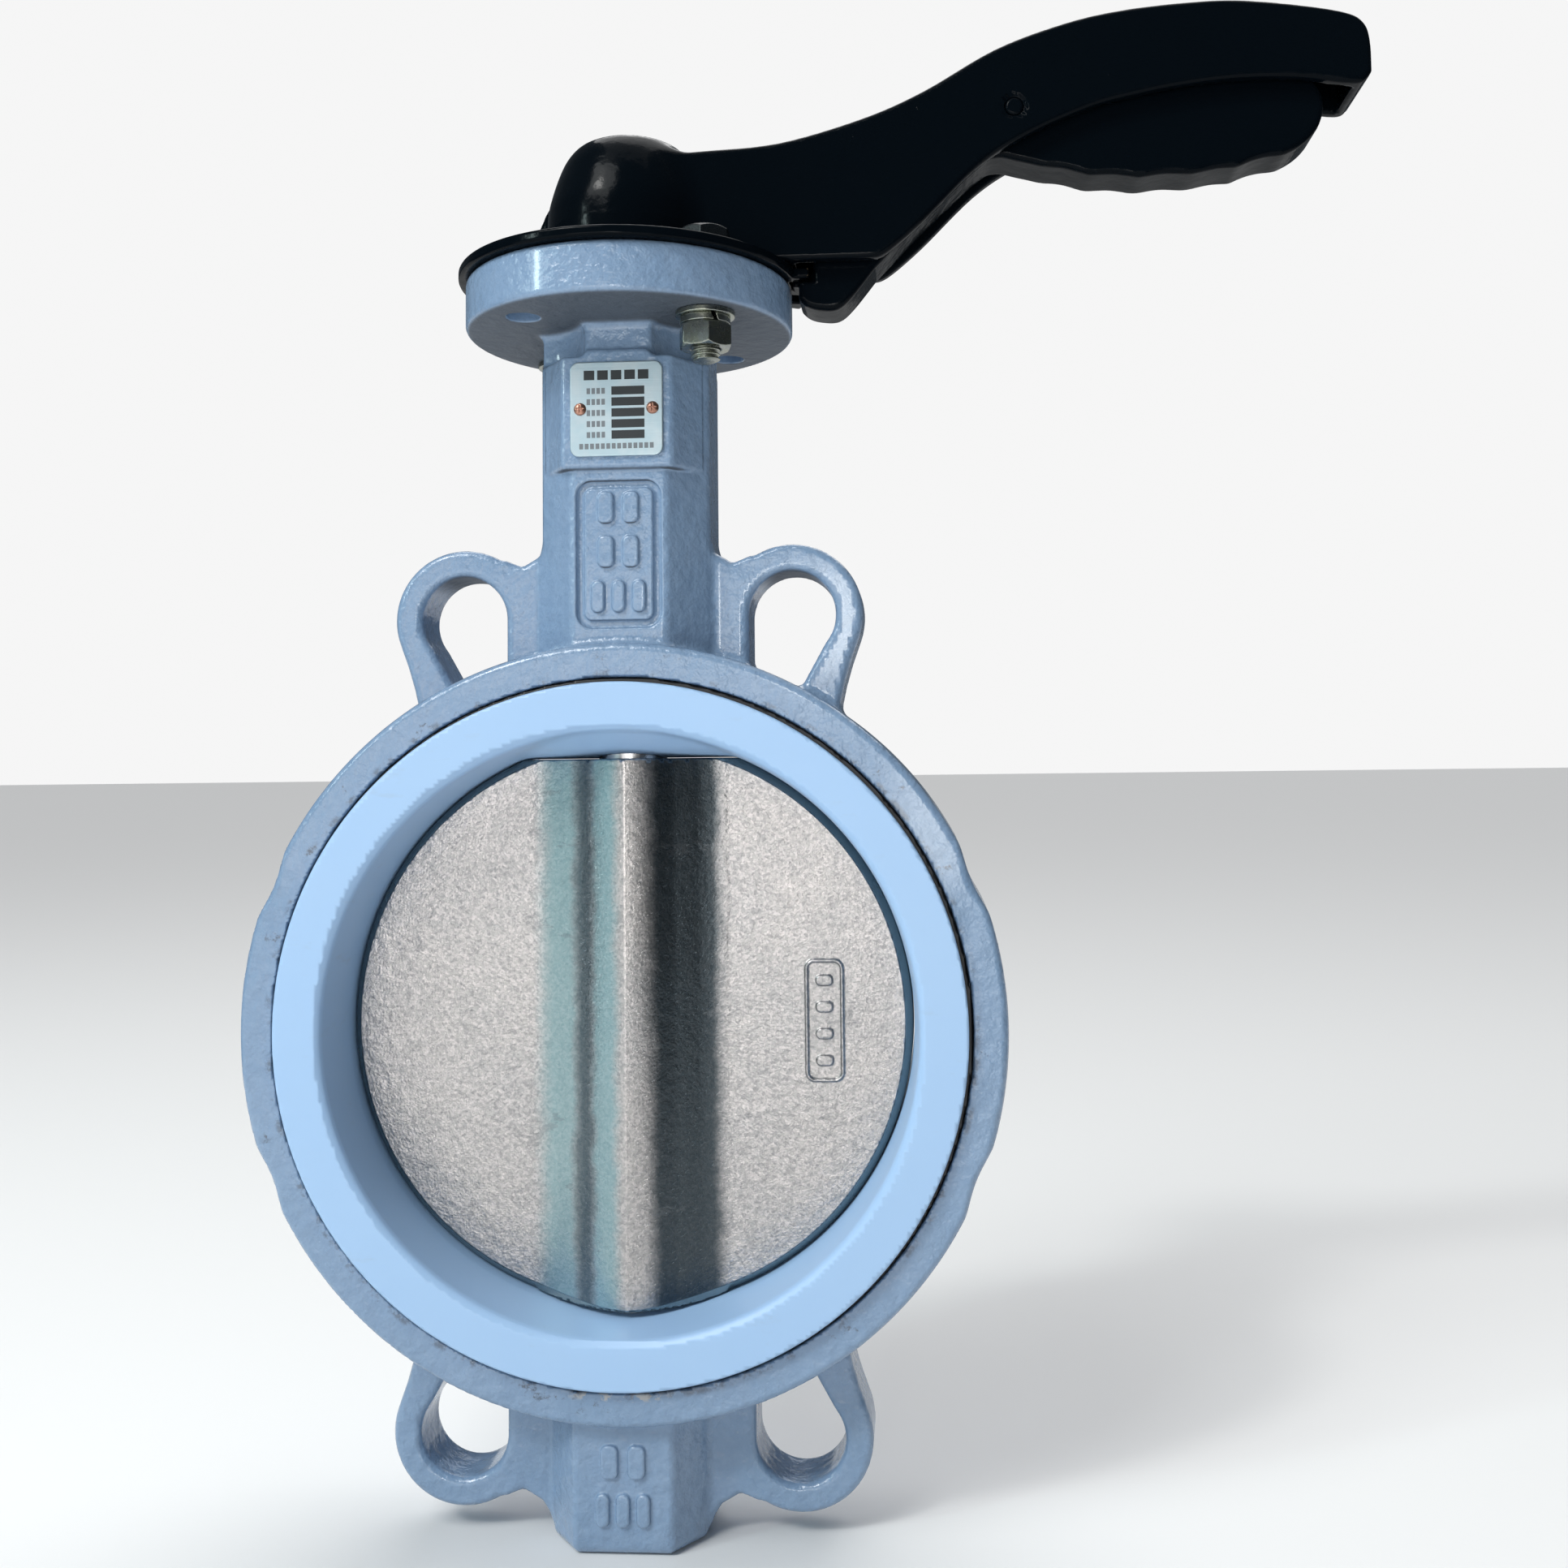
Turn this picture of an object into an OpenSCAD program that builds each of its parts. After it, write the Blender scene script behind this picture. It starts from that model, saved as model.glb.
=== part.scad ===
// Wafer butterfly valve, nominal size 150, with a squeeze lever.
// Frame: origin where the stem axis crosses the pipe axis, pipe along Y, stem along Z,
// lever along +X when the disc is shut. Millimetres.

/* [Body casting] */
// Outer radius of the wafer ring
ring_r = 102.5; // [101:0.5:104]
// Length of the ring along the pipe
ring_w = 50; // [46:1:52]
// Height of the mounting flange's top face above the centre
flange_top = 205; // [203:1:210]
// Radius of the mounting flange
flange_r = 46; // [45:0.5:48]
// Thickness of the mounting flange
flange_t = 14; // [12:1:15]
// Depth of the bottom boss below the centre
boss_bottom = 137; // [136:1:140]
// Pitch circle of the pipe flange bolts
bolt_circle = 240; // [238:0.5:242]
// Radius of the bolt slots in the ears
slot_r = 12; // [10:0.5:12]
// Outer radius of the ears
ear_r = 19.5; // [19:0.5:21]
// Thickness of the ears
ear_t = 18; // [14:1:22]

/* [Seat] */
// Face to face length over the seat
face_to_face = 56; // [55:0.5:57]
// Outer radius of the seat's white face
seat_face_r = 92.1; // [90:0.1:92.5]

/* [Disc and stems] */
// Radius of the disc's spherical rim
disc_r = 77.75; // [77:0.05:77.8]
// Thickness of the disc plate
disc_t = 14; // [10:1:16]
// Radius of both stems
stem_r = 9.5; // [9:0.1:9.5]
// Side of the square drives on the upper stem
drive_w = 14; // [12:0.5:14]

/* [Latch plate] */
// Thickness of the latch plate
plate_t = 3; // [2:0.5:3]
// Radius of the plate's plain rim
plate_r = 48; // [47:0.5:49]
// Radius over the plate's teeth
teeth_r = 52; // [51:0.5:52]
// Angle between two notches
notch_pitch = 15; // [15, 7.5]
// Width of a notch
notch_w = 7; // [6.8:0.1:8]

/* [Lever and trigger] */
// Width of the lever
lever_w = 25; // [24:1:28]
// Wall of the lever's channel
lever_wall = 4; // [3:0.5:4.5]
// Width of the trigger
trigger_w = 15; // [13:0.5:15.5]

/* [Hidden] */
$fn = 96;

eps = 0.01;
paint = [0.47, 0.54, 0.68];
black = [0.05, 0.06, 0.07];
white_ptfe = [0.80, 0.88, 0.95];
black_rubber = [0.10, 0.10, 0.11];
cast_steel = [0.66, 0.65, 0.64];
ground_steel = [0.74, 0.75, 0.76];
zinc = [0.76, 0.77, 0.68];
bronze = [0.72, 0.56, 0.32];
copper = [0.72, 0.50, 0.42];

// body casting
recess_r = 93.4;
recess_floor = 20;
body_bore_r = 88;
flange_low = flange_top - flange_t;
ear_x = bolt_circle / 2 * sin(22.5);
ear_z = bolt_circle / 2 * cos(22.5);
scallop_r = 18.5;
neck_half_w = 23.5;
boss_half_w = 21;
column_half_d = 20;
column_face = 13;
column_side = 10;
pad_y = -21.5;
pad_low = 150;
pad_high = 181;
panel_low = 107;
panel_high = 147;
mark_t = 0.8;
bush_r = 12;
bush_gap = 0.05;
upper_shoulder = 158;
middle_shoulder = 126;
middle_bore_low = 94;
lower_shoulder = -96;
lower_bore_end = -129;
washer_seat = 200;
stem_clear_r = 10.5;

// seat
liner_bore_r = 77.95;
liner_wall_r = 81.2;
lip_r = 79.3;
liner_y = 24.7;
backing_r = 93.2;
upper_pad_z = 71.9;
lower_pad_z = 76.4;
pad_flat_y = 8.5;

// disc
disc_top = 71.5;
disc_bottom = -76;
hub_r = 14;
fairing_x = 26;
fairing_y = 6.2;
drive_low = 34;
drive_high = 58;
lower_socket = -40;

// mounting flange bolting, on the 70 mm circle of the actuator standard
pad_circle = 70;
bolt_r = 4;
bolt_hole_r = 4.5;
hex_w = 13;
flat_washer_t = 1.6;
spring_washer_t = 2;
nut_t = 6.5;
head_t = 5.3;
bolt_end = 177.5;
plate_low = flange_top;
plate_top = plate_low + plate_t;

// lever and trigger
lever_low = plate_top + 0.5;
hub_low_r = 23.5;
hub_bend_r = 19.5;
hub_top_r = 13.5;
hub_shoulder = 227;
hub_bend = 238.5;
hub_top = 245.3;
recess_z = 240.3;
channel_x = 48;
arm_top = [[17, 240], [44, 242], [67, 248], [84, 255], [104, 266], [123, 272.5], [139, 275.6],
           [157, 277], [170, 277], [186, 275], [199, 272.5], [204, 269], [205.6, 262], [205.6, 255]];
arm_low = [[201, 252.5], [187, 254.6], [172, 255], [156, 254], [140, 251.3], [128, 248.2],
           [110.5, 240.8], [98, 232.7], [83, 218.2], [73, 209.2], [69, lever_low]];
roof = 4.5;
pin_x = 109;
pin_z = 249.6;
pin_r = 2.5;
pin_boss_r = 7;
nose_x = 52.8;
tooth_x = 46.6;
tooth_w = 6;
spring_x = 150;
spring_low = 258.5;
spring_high = 271.3;
spring_r = 4.2;
plate_mark_z = 166.2;
plate_mark_w = 25.4;
plate_mark_h = 25.9;
rivet_x = 9.9;

function hex_radius(flats) = flats / 2 / cos(30);

// a solid made by moving an XZ outline through t along the pipe
module across(t) {
    rotate([90, 0, 0]) linear_extrude(t, center = true) children();
}

// a profile of radius and distance along the pipe, turned about the pipe axis
module about_pipe() {
    rotate([90, 0, 0]) rotate_extrude($fn = 180) children();
}

module tube(r_out, r_in, z0, z1) {
    difference() {
        translate([0, 0, z0]) cylinder(r = r_out, h = z1 - z0);
        translate([0, 0, z0 - 1]) cylinder(r = r_in, h = z1 - z0 + 2);
    }
}

// an outline mirrored from its upper half to the whole
function both_ways(upper) =
    concat(upper, [for (i = [len(upper) - 1:-1:0]) [upper[i].x, -upper[i].y]]);

module rounded_rectangle(w, h, r) {
    square([w - 2 * r, h], center = true);
    square([w, h - 2 * r], center = true);
    for (sx = [-1, 1], sy = [-1, 1])
        translate([sx * (w / 2 - r), sy * (h / 2 - r)]) circle(r = r, $fn = 32);
}

// raised cast shape on a front face at depth y, with its middle at x and z
module raised_mark(x, y, z, w, h, r) {
    translate([x, y, z]) rotate([90, 0, 0])
        translate([0, 0, -1]) linear_extrude(1 + mark_t) rounded_rectangle(w, h, r);
}

module column_section(half_w) {
    polygon([[column_face, -column_half_d], [half_w, -column_side], [half_w, column_side],
             [column_face, column_half_d], [-column_face, column_half_d],
             [-half_w, column_side], [-half_w, -column_side], [-column_face, -column_half_d]]);
}

module at_pad_holes() {
    for (a = [45:90:315]) rotate(a) translate([pad_circle / 2, 0]) children();
}

// only the front right and the back left holes carry a bolt
module at_bolts() {
    for (a = [-45, 135]) rotate(a) translate([pad_circle / 2, 0]) children();
}

module o_ring(z, thick_r) {
    translate([0, 0, z]) rotate_extrude()
        translate([bush_r - bush_gap - thick_r, 0]) circle(r = thick_r, $fn = 32);
}

// ---- body casting ----

module ear_outline() {
    translate([ear_x, ear_z]) circle(r = ear_r);
    polygon([[10, 80], [10, 133], [23, 131], [26, 126.5], [30, 124.6], [33.5, 125.8],
             [46, 118], [65.3, 110], [62, 99], [58.5, 84], [40, 80]]);
}

// the slot round a pipe flange bolt, open down to the ring
module bolt_slot_outline() {
    translate([ear_x, ear_z]) circle(r = slot_r);
    polygon([[ear_x - slot_r, ear_z], [ear_x - slot_r, ring_r - 12], [ear_x + 1, ring_r - 14],
             [ear_x + slot_r - 0.8, ear_z - 4.2]]);
}

module ears() {
    for (sx = [0, 1], sz = [0, 1])
        mirror([sx, 0, 0]) mirror([0, 0, sz])
            across(ear_t) difference() {
                ear_outline();
                circle(r = ring_r - 5, $fn = 180);
                bolt_slot_outline();
            }
}

module bolt_scallops() {
    for (sx = [-1, 1], sz = [-1, 1])
        translate([sx * ear_z, 0, sz * ear_x]) rotate([90, 0, 0])
            cylinder(r = scallop_r, h = ring_w + 2, center = true);
}

module neck() {
    translate([0, 0, 90]) linear_extrude(flange_low - 90 + 1) column_section(neck_half_w);
    translate([0, 0, pad_low]) linear_extrude(pad_high - pad_low)
        polygon([[-15, pad_y], [15, pad_y], [20.5, -13.5], [-20.5, -13.5]]);
}

module nut_pockets() {
    for (a = [45:90:315]) rotate(a) translate([pad_circle / 2, 0, pad_high])
        cylinder(r = 16.5, h = flange_low - pad_high);
}

module bottom_boss() {
    difference() {
        translate([0, 0, -boss_bottom]) linear_extrude(boss_bottom - 90) column_section(boss_half_w);
        for (s = [-1, 1]) {
            translate([s * boss_half_w, 0, -boss_bottom]) rotate([0, 45, 0])
                cube([5, 60, 5], center = true);
            translate([0, s * column_half_d, -boss_bottom]) rotate([45, 0, 0])
                cube([60, 3, 3], center = true);
        }
    }
}

module panel_groove() {
    z_mid = (panel_low + panel_high) / 2;
    translate([0, -column_half_d, z_mid]) rotate([90, 0, 0])
        translate([0, 0, -mark_t]) linear_extrude(2) difference() {
            rounded_rectangle(23, panel_high - panel_low, 3);
            rounded_rectangle(20, panel_high - panel_low - 3, 1.8);
        }
}

// plain bars stand where a foundry would put its size and grade marks
module cast_marks() {
    for (m = [[139, 9], [127.5, 12], [116, 15]])
        raised_mark(0, -column_half_d, m[0], m[1], 4.5, 2);
    for (m = [[-113, 13], [-124, 16]])
        raised_mark(0, -column_half_d, m[0], m[1], 4.5, 2);
}

module stem_bores() {
    translate([0, 0, 80]) cylinder(r = stem_clear_r, h = flange_top - 79);
    translate([0, 0, middle_bore_low]) cylinder(r = bush_r, h = middle_shoulder - middle_bore_low);
    translate([0, 0, upper_shoulder]) cylinder(r = bush_r, h = washer_seat - upper_shoulder + eps);
    translate([0, 0, washer_seat]) cylinder(r = 15, h = flange_top - washer_seat + 1);
    translate([0, 0, lower_bore_end - eps])
        cylinder(r = bush_r, h = lower_shoulder - lower_bore_end + eps);
    translate([0, 0, lower_shoulder - 1]) cylinder(r = stem_clear_r, h = -lower_shoulder - 79);
    translate([0, 0, -boss_bottom - 1]) cylinder(r = 13.5, h = boss_bottom + 1 + lower_bore_end);
}

module rivet_holes() {
    for (sx = [-1, 1])
        translate([sx * rivet_x, pad_y - 1, plate_mark_z]) rotate([-90, 0, 0])
            cylinder(r = 1.2, h = 6, $fn = 24);
}

module valve_body() {
    color(paint) difference() {
        union() {
            difference() {
                union() {
                    about_pipe() polygon([[ring_r, -ring_w / 2 + 1], [ring_r, ring_w / 2 - 1],
                        [ring_r - 1, ring_w / 2], [80, ring_w / 2], [80, -ring_w / 2],
                        [ring_r - 1, -ring_w / 2]]);
                    ears();
                    neck();
                    bottom_boss();
                }
                bolt_scallops();
                nut_pockets();
                panel_groove();
            }
            translate([0, 0, flange_low]) cylinder(r = flange_r, h = flange_t);
            cast_marks();
        }
        about_pipe() translate([0, -ring_w]) square([body_bore_r, 2 * ring_w]);
        for (s = [0, 1]) mirror([0, s, 0])
            translate([0, -recess_floor, 0]) rotate([90, 0, 0])
                cylinder(r = recess_r, h = ring_w, $fn = 180);
        stem_bores();
        translate([0, 0, flange_low - 1]) at_pad_holes() cylinder(r = bolt_hole_r, h = flange_t + 2);
        rivet_holes();
    }
}

// ---- seat ----

module stem_passage(r) {
    translate([0, 0, -100]) cylinder(r = r, h = 200);
}

module seat_backing() {
    color(black_rubber) difference() {
        about_pipe() polygon(concat(
            both_ways([[liner_wall_r, liner_y], [backing_r, liner_y], [backing_r, recess_floor],
                       [body_bore_r, recess_floor]])));
        stem_passage(stem_r + bush_gap);
    }
}

// raised lands around the stem holes, with ramps down to the seat's lips
module stem_land(z, sign) {
    intersection() {
        rotate([90, 0, 90]) linear_extrude(80, center = true)
            polygon([[-pad_flat_y, sign * z], [pad_flat_y, sign * z], [26, sign * lip_r],
                     [26, sign * 90], [-26, sign * 90], [-26, sign * lip_r]]);
        rotate([90, 0, 0]) cylinder(r = liner_wall_r - 0.5, h = 60, center = true, $fn = 180);
    }
}

module seat_liner() {
    color(white_ptfe) difference() {
        union() {
            about_pipe() polygon(both_ways([[liner_bore_r, pad_flat_y], [lip_r, 26.2],
                [79.8, 27.4], [80.9, face_to_face / 2], [seat_face_r - 0.3, face_to_face / 2],
                [seat_face_r, face_to_face / 2 - 0.3], [seat_face_r, liner_y],
                [liner_wall_r, liner_y]]));
            stem_land(upper_pad_z, 1);
            stem_land(lower_pad_z, -1);
        }
        stem_passage(stem_r + bush_gap);
    }
}

// ---- disc and stems ----

module drive_section(w, r) {
    intersection() {
        square([w, w], center = true);
        circle(r = r);
    }
}

module disc_hub() {
    translate([0, 0, disc_bottom]) linear_extrude(disc_top - disc_bottom) {
        circle(r = hub_r);
        for (s = [0, 1]) mirror([s, 0]) polygon([[0, -13.4], [4.5, -13.26], [fairing_x, -fairing_y],
            [fairing_x, fairing_y], [4.5, 13.26], [0, 13.4]]);
    }
}

module disc_marks() {
    translate([53.5, -disc_t / 2, 0]) rotate([90, 0, 0]) translate([0, 0, -1]) {
        linear_extrude(1.7) difference() {
            rounded_rectangle(10.5, 33, 2.4);
            rounded_rectangle(8.7, 31.2, 1.6);
        }
        for (i = [-1.5:1:1.5]) translate([0, i * 7.2]) linear_extrude(1.6)
            rounded_rectangle(4.6, 2.6, 1.2);
    }
}

module disc() {
    color(cast_steel) difference() {
        union() {
            intersection() {
                union() {
                    about_pipe() polygon(both_ways([[0, disc_t / 2], [disc_r - 2.1, disc_t / 2],
                        [disc_r + 0.1, disc_t / 2 - 2.5]]));
                    disc_hub();
                }
                sphere(r = disc_r, $fn = 180);
                translate([-100, -100, disc_bottom]) cube([200, 200, disc_top - disc_bottom]);
            }
            disc_marks();
        }
        translate([0, 0, drive_high]) cylinder(r = stem_r + bush_gap, h = 30);
        translate([0, 0, drive_low]) linear_extrude(drive_high - drive_low + eps)
            drive_section(drive_w + 0.1, stem_r + bush_gap);
        translate([0, 0, -100]) cylinder(r = stem_r + bush_gap, h = 100 + lower_socket);
    }
}

module upper_stem() {
    square_low = lever_low - 0.2;
    color(ground_steel) difference() {
        union() {
            translate([0, 0, drive_low + 0.3]) linear_extrude(drive_high - drive_low)
                drive_section(drive_w, stem_r);
            translate([0, 0, drive_high]) cylinder(r = stem_r, h = square_low - drive_high);
            translate([0, 0, square_low]) linear_extrude(recess_z - 0.6 - square_low)
                drive_section(drive_w, stem_r);
        }
        tube(stem_r + 1, stem_r - 1, washer_seat + 1.7, washer_seat + 3.1);
        translate([0, 0, 228]) cylinder(r = bolt_r, h = 20);
    }
}

module lower_stem() {
    color(ground_steel) union() {
        translate([0, 0, -126]) cylinder(r = stem_r, h = lower_socket + 126 - 0.5);
        translate([0, 0, -127]) cylinder(r1 = stem_r - 1, r2 = stem_r, h = 1);
    }
}

// ---- bearings and seals ----

module upper_bush() {
    color(bronze) tube(bush_r, stem_r + bush_gap, 163.6, washer_seat);
}

module middle_bush() {
    color(bronze) tube(bush_r, stem_r + bush_gap, middle_bore_low + 0.5, 122);
}

module lower_bush() {
    color(bronze) tube(bush_r, stem_r + bush_gap, -127, -99.2);
}

module upper_stem_seals() {
    color(black_rubber) {
        o_ring(159.4, 1.15);
        o_ring(162.1, 1.15);
    }
}

module middle_stem_seal() {
    color(black_rubber) o_ring(123.6, 1.15);
}

module lower_stem_seal() {
    color(black_rubber) o_ring(-97.6, 1.15);
}

module thrust_washer() {
    color(bronze) tube(14, stem_r + 0.1, washer_seat, washer_seat + 1.5);
}

module stem_circlip() {
    color(ground_steel) difference() {
        tube(12.5, stem_r - 0.95, washer_seat + 1.8, washer_seat + 3);
        translate([-20, -2, washer_seat]) cube([20, 4, 5]);
    }
}

module thrust_pad() {
    color(bronze) translate([0, 0, lower_bore_end]) cylinder(r = 11.9, h = 1.9);
}

module bottom_plug() {
    color(zinc) difference() {
        translate([0, 0, -boss_bottom + 0.5]) cylinder(r = 13.5, h = lower_bore_end + boss_bottom - 0.5);
        translate([0, 0, -boss_bottom - 1])
            cylinder(r = hex_radius(12), h = 5.5, $fn = 6);
        tube(15, 11.2, -133.2, -130.8);
    }
}

module plug_seal() {
    color(black_rubber) translate([0, 0, -132]) rotate_extrude()
        translate([12.35, 0]) circle(r = 1.1, $fn = 32);
}

// ---- latch plate and its bolting ----

module latch_plate() {
    first = -9;
    last = 99;
    color(black) difference() {
        translate([0, 0, plate_low]) linear_extrude(plate_t) {
            circle(r = plate_r, $fn = 180);
            intersection() {
                circle(r = teeth_r, $fn = 180);
                polygon(concat([[0, 0]], [for (a = [first, 45, last]) 80 * [cos(a), sin(a)]]));
            }
        }
        translate([0, 0, plate_low - 1]) {
            cylinder(r = stem_clear_r, h = plate_t + 2);
            at_pad_holes() cylinder(r = bolt_hole_r, h = plate_t + 2);
            for (a = [0:notch_pitch:90]) rotate(a)
                translate([plate_r - 2, -notch_w / 2, 0]) cube([10, notch_w, plate_t + 2]);
        }
    }
}

module plate_bolts() {
    color(zinc) at_bolts() union() {
        translate([0, 0, plate_top]) cylinder(r = hex_radius(hex_w), h = head_t, $fn = 6);
        translate([0, 0, bolt_end + 1]) cylinder(r = bolt_r - 0.02, h = plate_top - bolt_end - 1 + eps);
        translate([0, 0, bolt_end]) cylinder(r1 = bolt_r - 1, r2 = bolt_r - 0.02, h = 1);
    }
}

module plate_flat_washers() {
    color(zinc) at_bolts() tube(8, bolt_r + 0.2, flange_low - flat_washer_t, flange_low);
}

module plate_spring_washers() {
    top = flange_low - flat_washer_t;
    color(zinc) at_bolts() difference() {
        tube(6.8, bolt_r + 0.1, top - spring_washer_t, top);
        rotate(70) translate([0, -0.5, top - 5]) rotate([20, 0, 0]) cube([10, 1, 10]);
    }
}

module plate_nuts() {
    top = flange_low - flat_washer_t - spring_washer_t;
    color(zinc) at_bolts() difference() {
        intersection() {
            translate([0, 0, top - nut_t]) rotate(15) cylinder(r = hex_radius(hex_w), h = nut_t, $fn = 6);
            translate([0, 0, top - nut_t]) cylinder(r1 = hex_w / 2, r2 = hex_w / 2 + nut_t * 1.7, h = nut_t);
        }
        translate([0, 0, top - nut_t - 1]) cylinder(r = bolt_r, h = nut_t + 2);
    }
}

// ---- lever ----

module lever_hub() {
    translate([0, 0, lever_low]) cylinder(r = hub_low_r, h = hub_shoulder - lever_low);
    translate([0, 0, hub_shoulder])
        cylinder(r1 = hub_low_r, r2 = hub_bend_r, h = hub_bend - hub_shoulder);
    translate([0, 0, hub_bend])
        cylinder(r1 = hub_bend_r, r2 = hub_top_r + 2.2, h = hub_top - 2 - hub_bend);
    translate([0, 0, hub_top - 2]) cylinder(r1 = hub_top_r + 2.2, r2 = hub_top_r, h = 2);
}

// low tail on the hub, opposite the arm
module lever_tail() {
    rotate(168) rotate([90, 0, 0]) linear_extrude(7, center = true)
        polygon([[10, lever_low], [33, lever_low], [30, 213], [25.5, 229], [10, 234]]);
}

module lever_arm() {
    across(lever_w) polygon(concat([[30, lever_low], [30, 240.9]],
        [for (i = [1:len(arm_top) - 1]) arm_top[i]], arm_low));
    across(lever_w - 2) polygon([[0, lever_low], [0, 240], [17, 240], [32, 241.1], [32, lever_low]]);
}

// the arm is a channel, open below; the trigger lies in it
module lever_channel() {
    across(lever_w - 2 * lever_wall) polygon(concat([[channel_x, 180], [channel_x, 242 - roof]],
        [for (i = [2:len(arm_top) - 5]) [arm_top[i].x, arm_top[i].y - roof]],
        [[196, 268], [201.2, 264], [201.2, 180]]));
}

module lever_handle() {
    color(black) difference() {
        union() {
            lever_hub();
            lever_tail();
            lever_arm();
        }
        lever_channel();
        translate([0, 0, lever_low - 1]) linear_extrude(recess_z - lever_low + 1 + eps)
            drive_section(drive_w + 0.1, stem_r + bush_gap);
        translate([0, 0, recess_z]) cylinder(r = 12, h = 10);
        translate([pin_x, 0, pin_z]) rotate([90, 0, 0])
            cylinder(r = pin_r, h = lever_w + 2, center = true);
    }
}

module lever_washer() {
    color(zinc) tube(11.5, bolt_r + 0.2, recess_z, recess_z + 2);
}

module lever_screw() {
    low = recess_z + 2;
    color(zinc) difference() {
        union() {
            translate([0, 0, 230]) cylinder(r = bolt_r, h = low - 230 + eps);
            translate([0, 0, low]) cylinder(r = 7, h = 2);
            translate([0, 0, low + 2]) cylinder(r1 = 7, r2 = 6, h = 0.9);
        }
        translate([0, 0, low + 0.6]) cylinder(r = hex_radius(5), h = 5, $fn = 6);
    }
}

// ---- trigger ----

grip_scallops = [[118, 233.6], [134.5, 231.0], [151, 230.6], [167, 231.6], [181, 234.4]];

module trigger_outline() {
    difference() {
        union() {
            polygon([[nose_x, 204.3], [48.6, 204.3], [48.6, 199], [51, 197], [54.3, 196], [59.3, 196],
                [63.5, 199.8], [70, 207.5],
                [83, 220.6], [98, 235], [104, 238.4], [111, 236.2], [126, 232.2], [142, 230.6],
                [158, 231.1], [174, 233], [185, 236.4], [191.5, 241.5], [194, 248.5], [192.5, 254],
                [188, 257.5], [170, 261], [150, 262], [128, 260.5], [112, 256.2], [104, 254.6],
                [90, 243], [74, 226], [66, 216.5], [60, 213], [nose_x, 213]]);
            translate([pin_x, pin_z]) circle(r = pin_boss_r);
        }
        for (s = grip_scallops) translate([s.x, s.y - 21.2]) circle(r = 22);
        translate([pin_x, pin_z]) circle(r = pin_r + bush_gap);
    }
}

module trigger() {
    color(black) difference() {
        union() {
            across(trigger_w) trigger_outline();
            translate([tooth_x, -tooth_w / 2, 204]) cube([nose_x - tooth_x + 2, tooth_w, 3.6]);
        }
        translate([spring_x, 0, spring_low - 0.5]) cylinder(r = spring_r + 0.8, h = 10);
    }
}

module trigger_pin() {
    color(ground_steel) translate([pin_x, 0, pin_z]) rotate([90, 0, 0])
        cylinder(r = pin_r, h = lever_w, center = true);
}

// the coil spring's sleeve, from the trigger's pocket to the channel's roof
module trigger_spring() {
    color(ground_steel) translate([spring_x, 0, 0]) tube(spring_r, spring_r - 1.2, spring_low, spring_high);
}

// ---- nameplate ----

module nameplate() {
    color([0.82, 0.86, 0.90]) difference() {
        translate([0, pad_y, plate_mark_z]) rotate([90, 0, 0]) linear_extrude(0.8)
            rounded_rectangle(plate_mark_w, plate_mark_h, 2.5);
        rivet_holes();
    }
}

module nameplate_rivets() {
    color(copper) for (sx = [-1, 1])
        translate([sx * rivet_x, pad_y - 0.8, plate_mark_z]) union() {
            rotate([90, 0, 0]) cylinder(r1 = 1.9, r2 = 1.2, h = 0.9, $fn = 32);
            translate([0, -0.1, 0]) rotate([-90, 0, 0]) cylinder(r = 1.15, h = 5, $fn = 24);
        }
}

valve_body();
seat_backing();
seat_liner();
disc();
upper_stem();
lower_stem();
upper_bush();
middle_bush();
lower_bush();
upper_stem_seals();
middle_stem_seal();
lower_stem_seal();
thrust_washer();
stem_circlip();
thrust_pad();
bottom_plug();
plug_seal();
latch_plate();
plate_bolts();
plate_flat_washers();
plate_spring_washers();
plate_nuts();
lever_handle();
lever_washer();
lever_screw();
trigger();
trigger_pin();
trigger_spring();
nameplate();
nameplate_rivets();
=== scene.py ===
"""A wafer butterfly valve with a squeeze lever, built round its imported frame.

Shapes are written as signed distances in millimetres, so that cast edges and
corners come out rounded, and are then turned into meshes in metres.
"""

import logging
import math
from dataclasses import dataclass
from enum import Enum
from typing import Callable, Optional, Sequence, Union

import bpy
import numpy as np
import openvdb
from mathutils import Matrix, Vector


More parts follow.
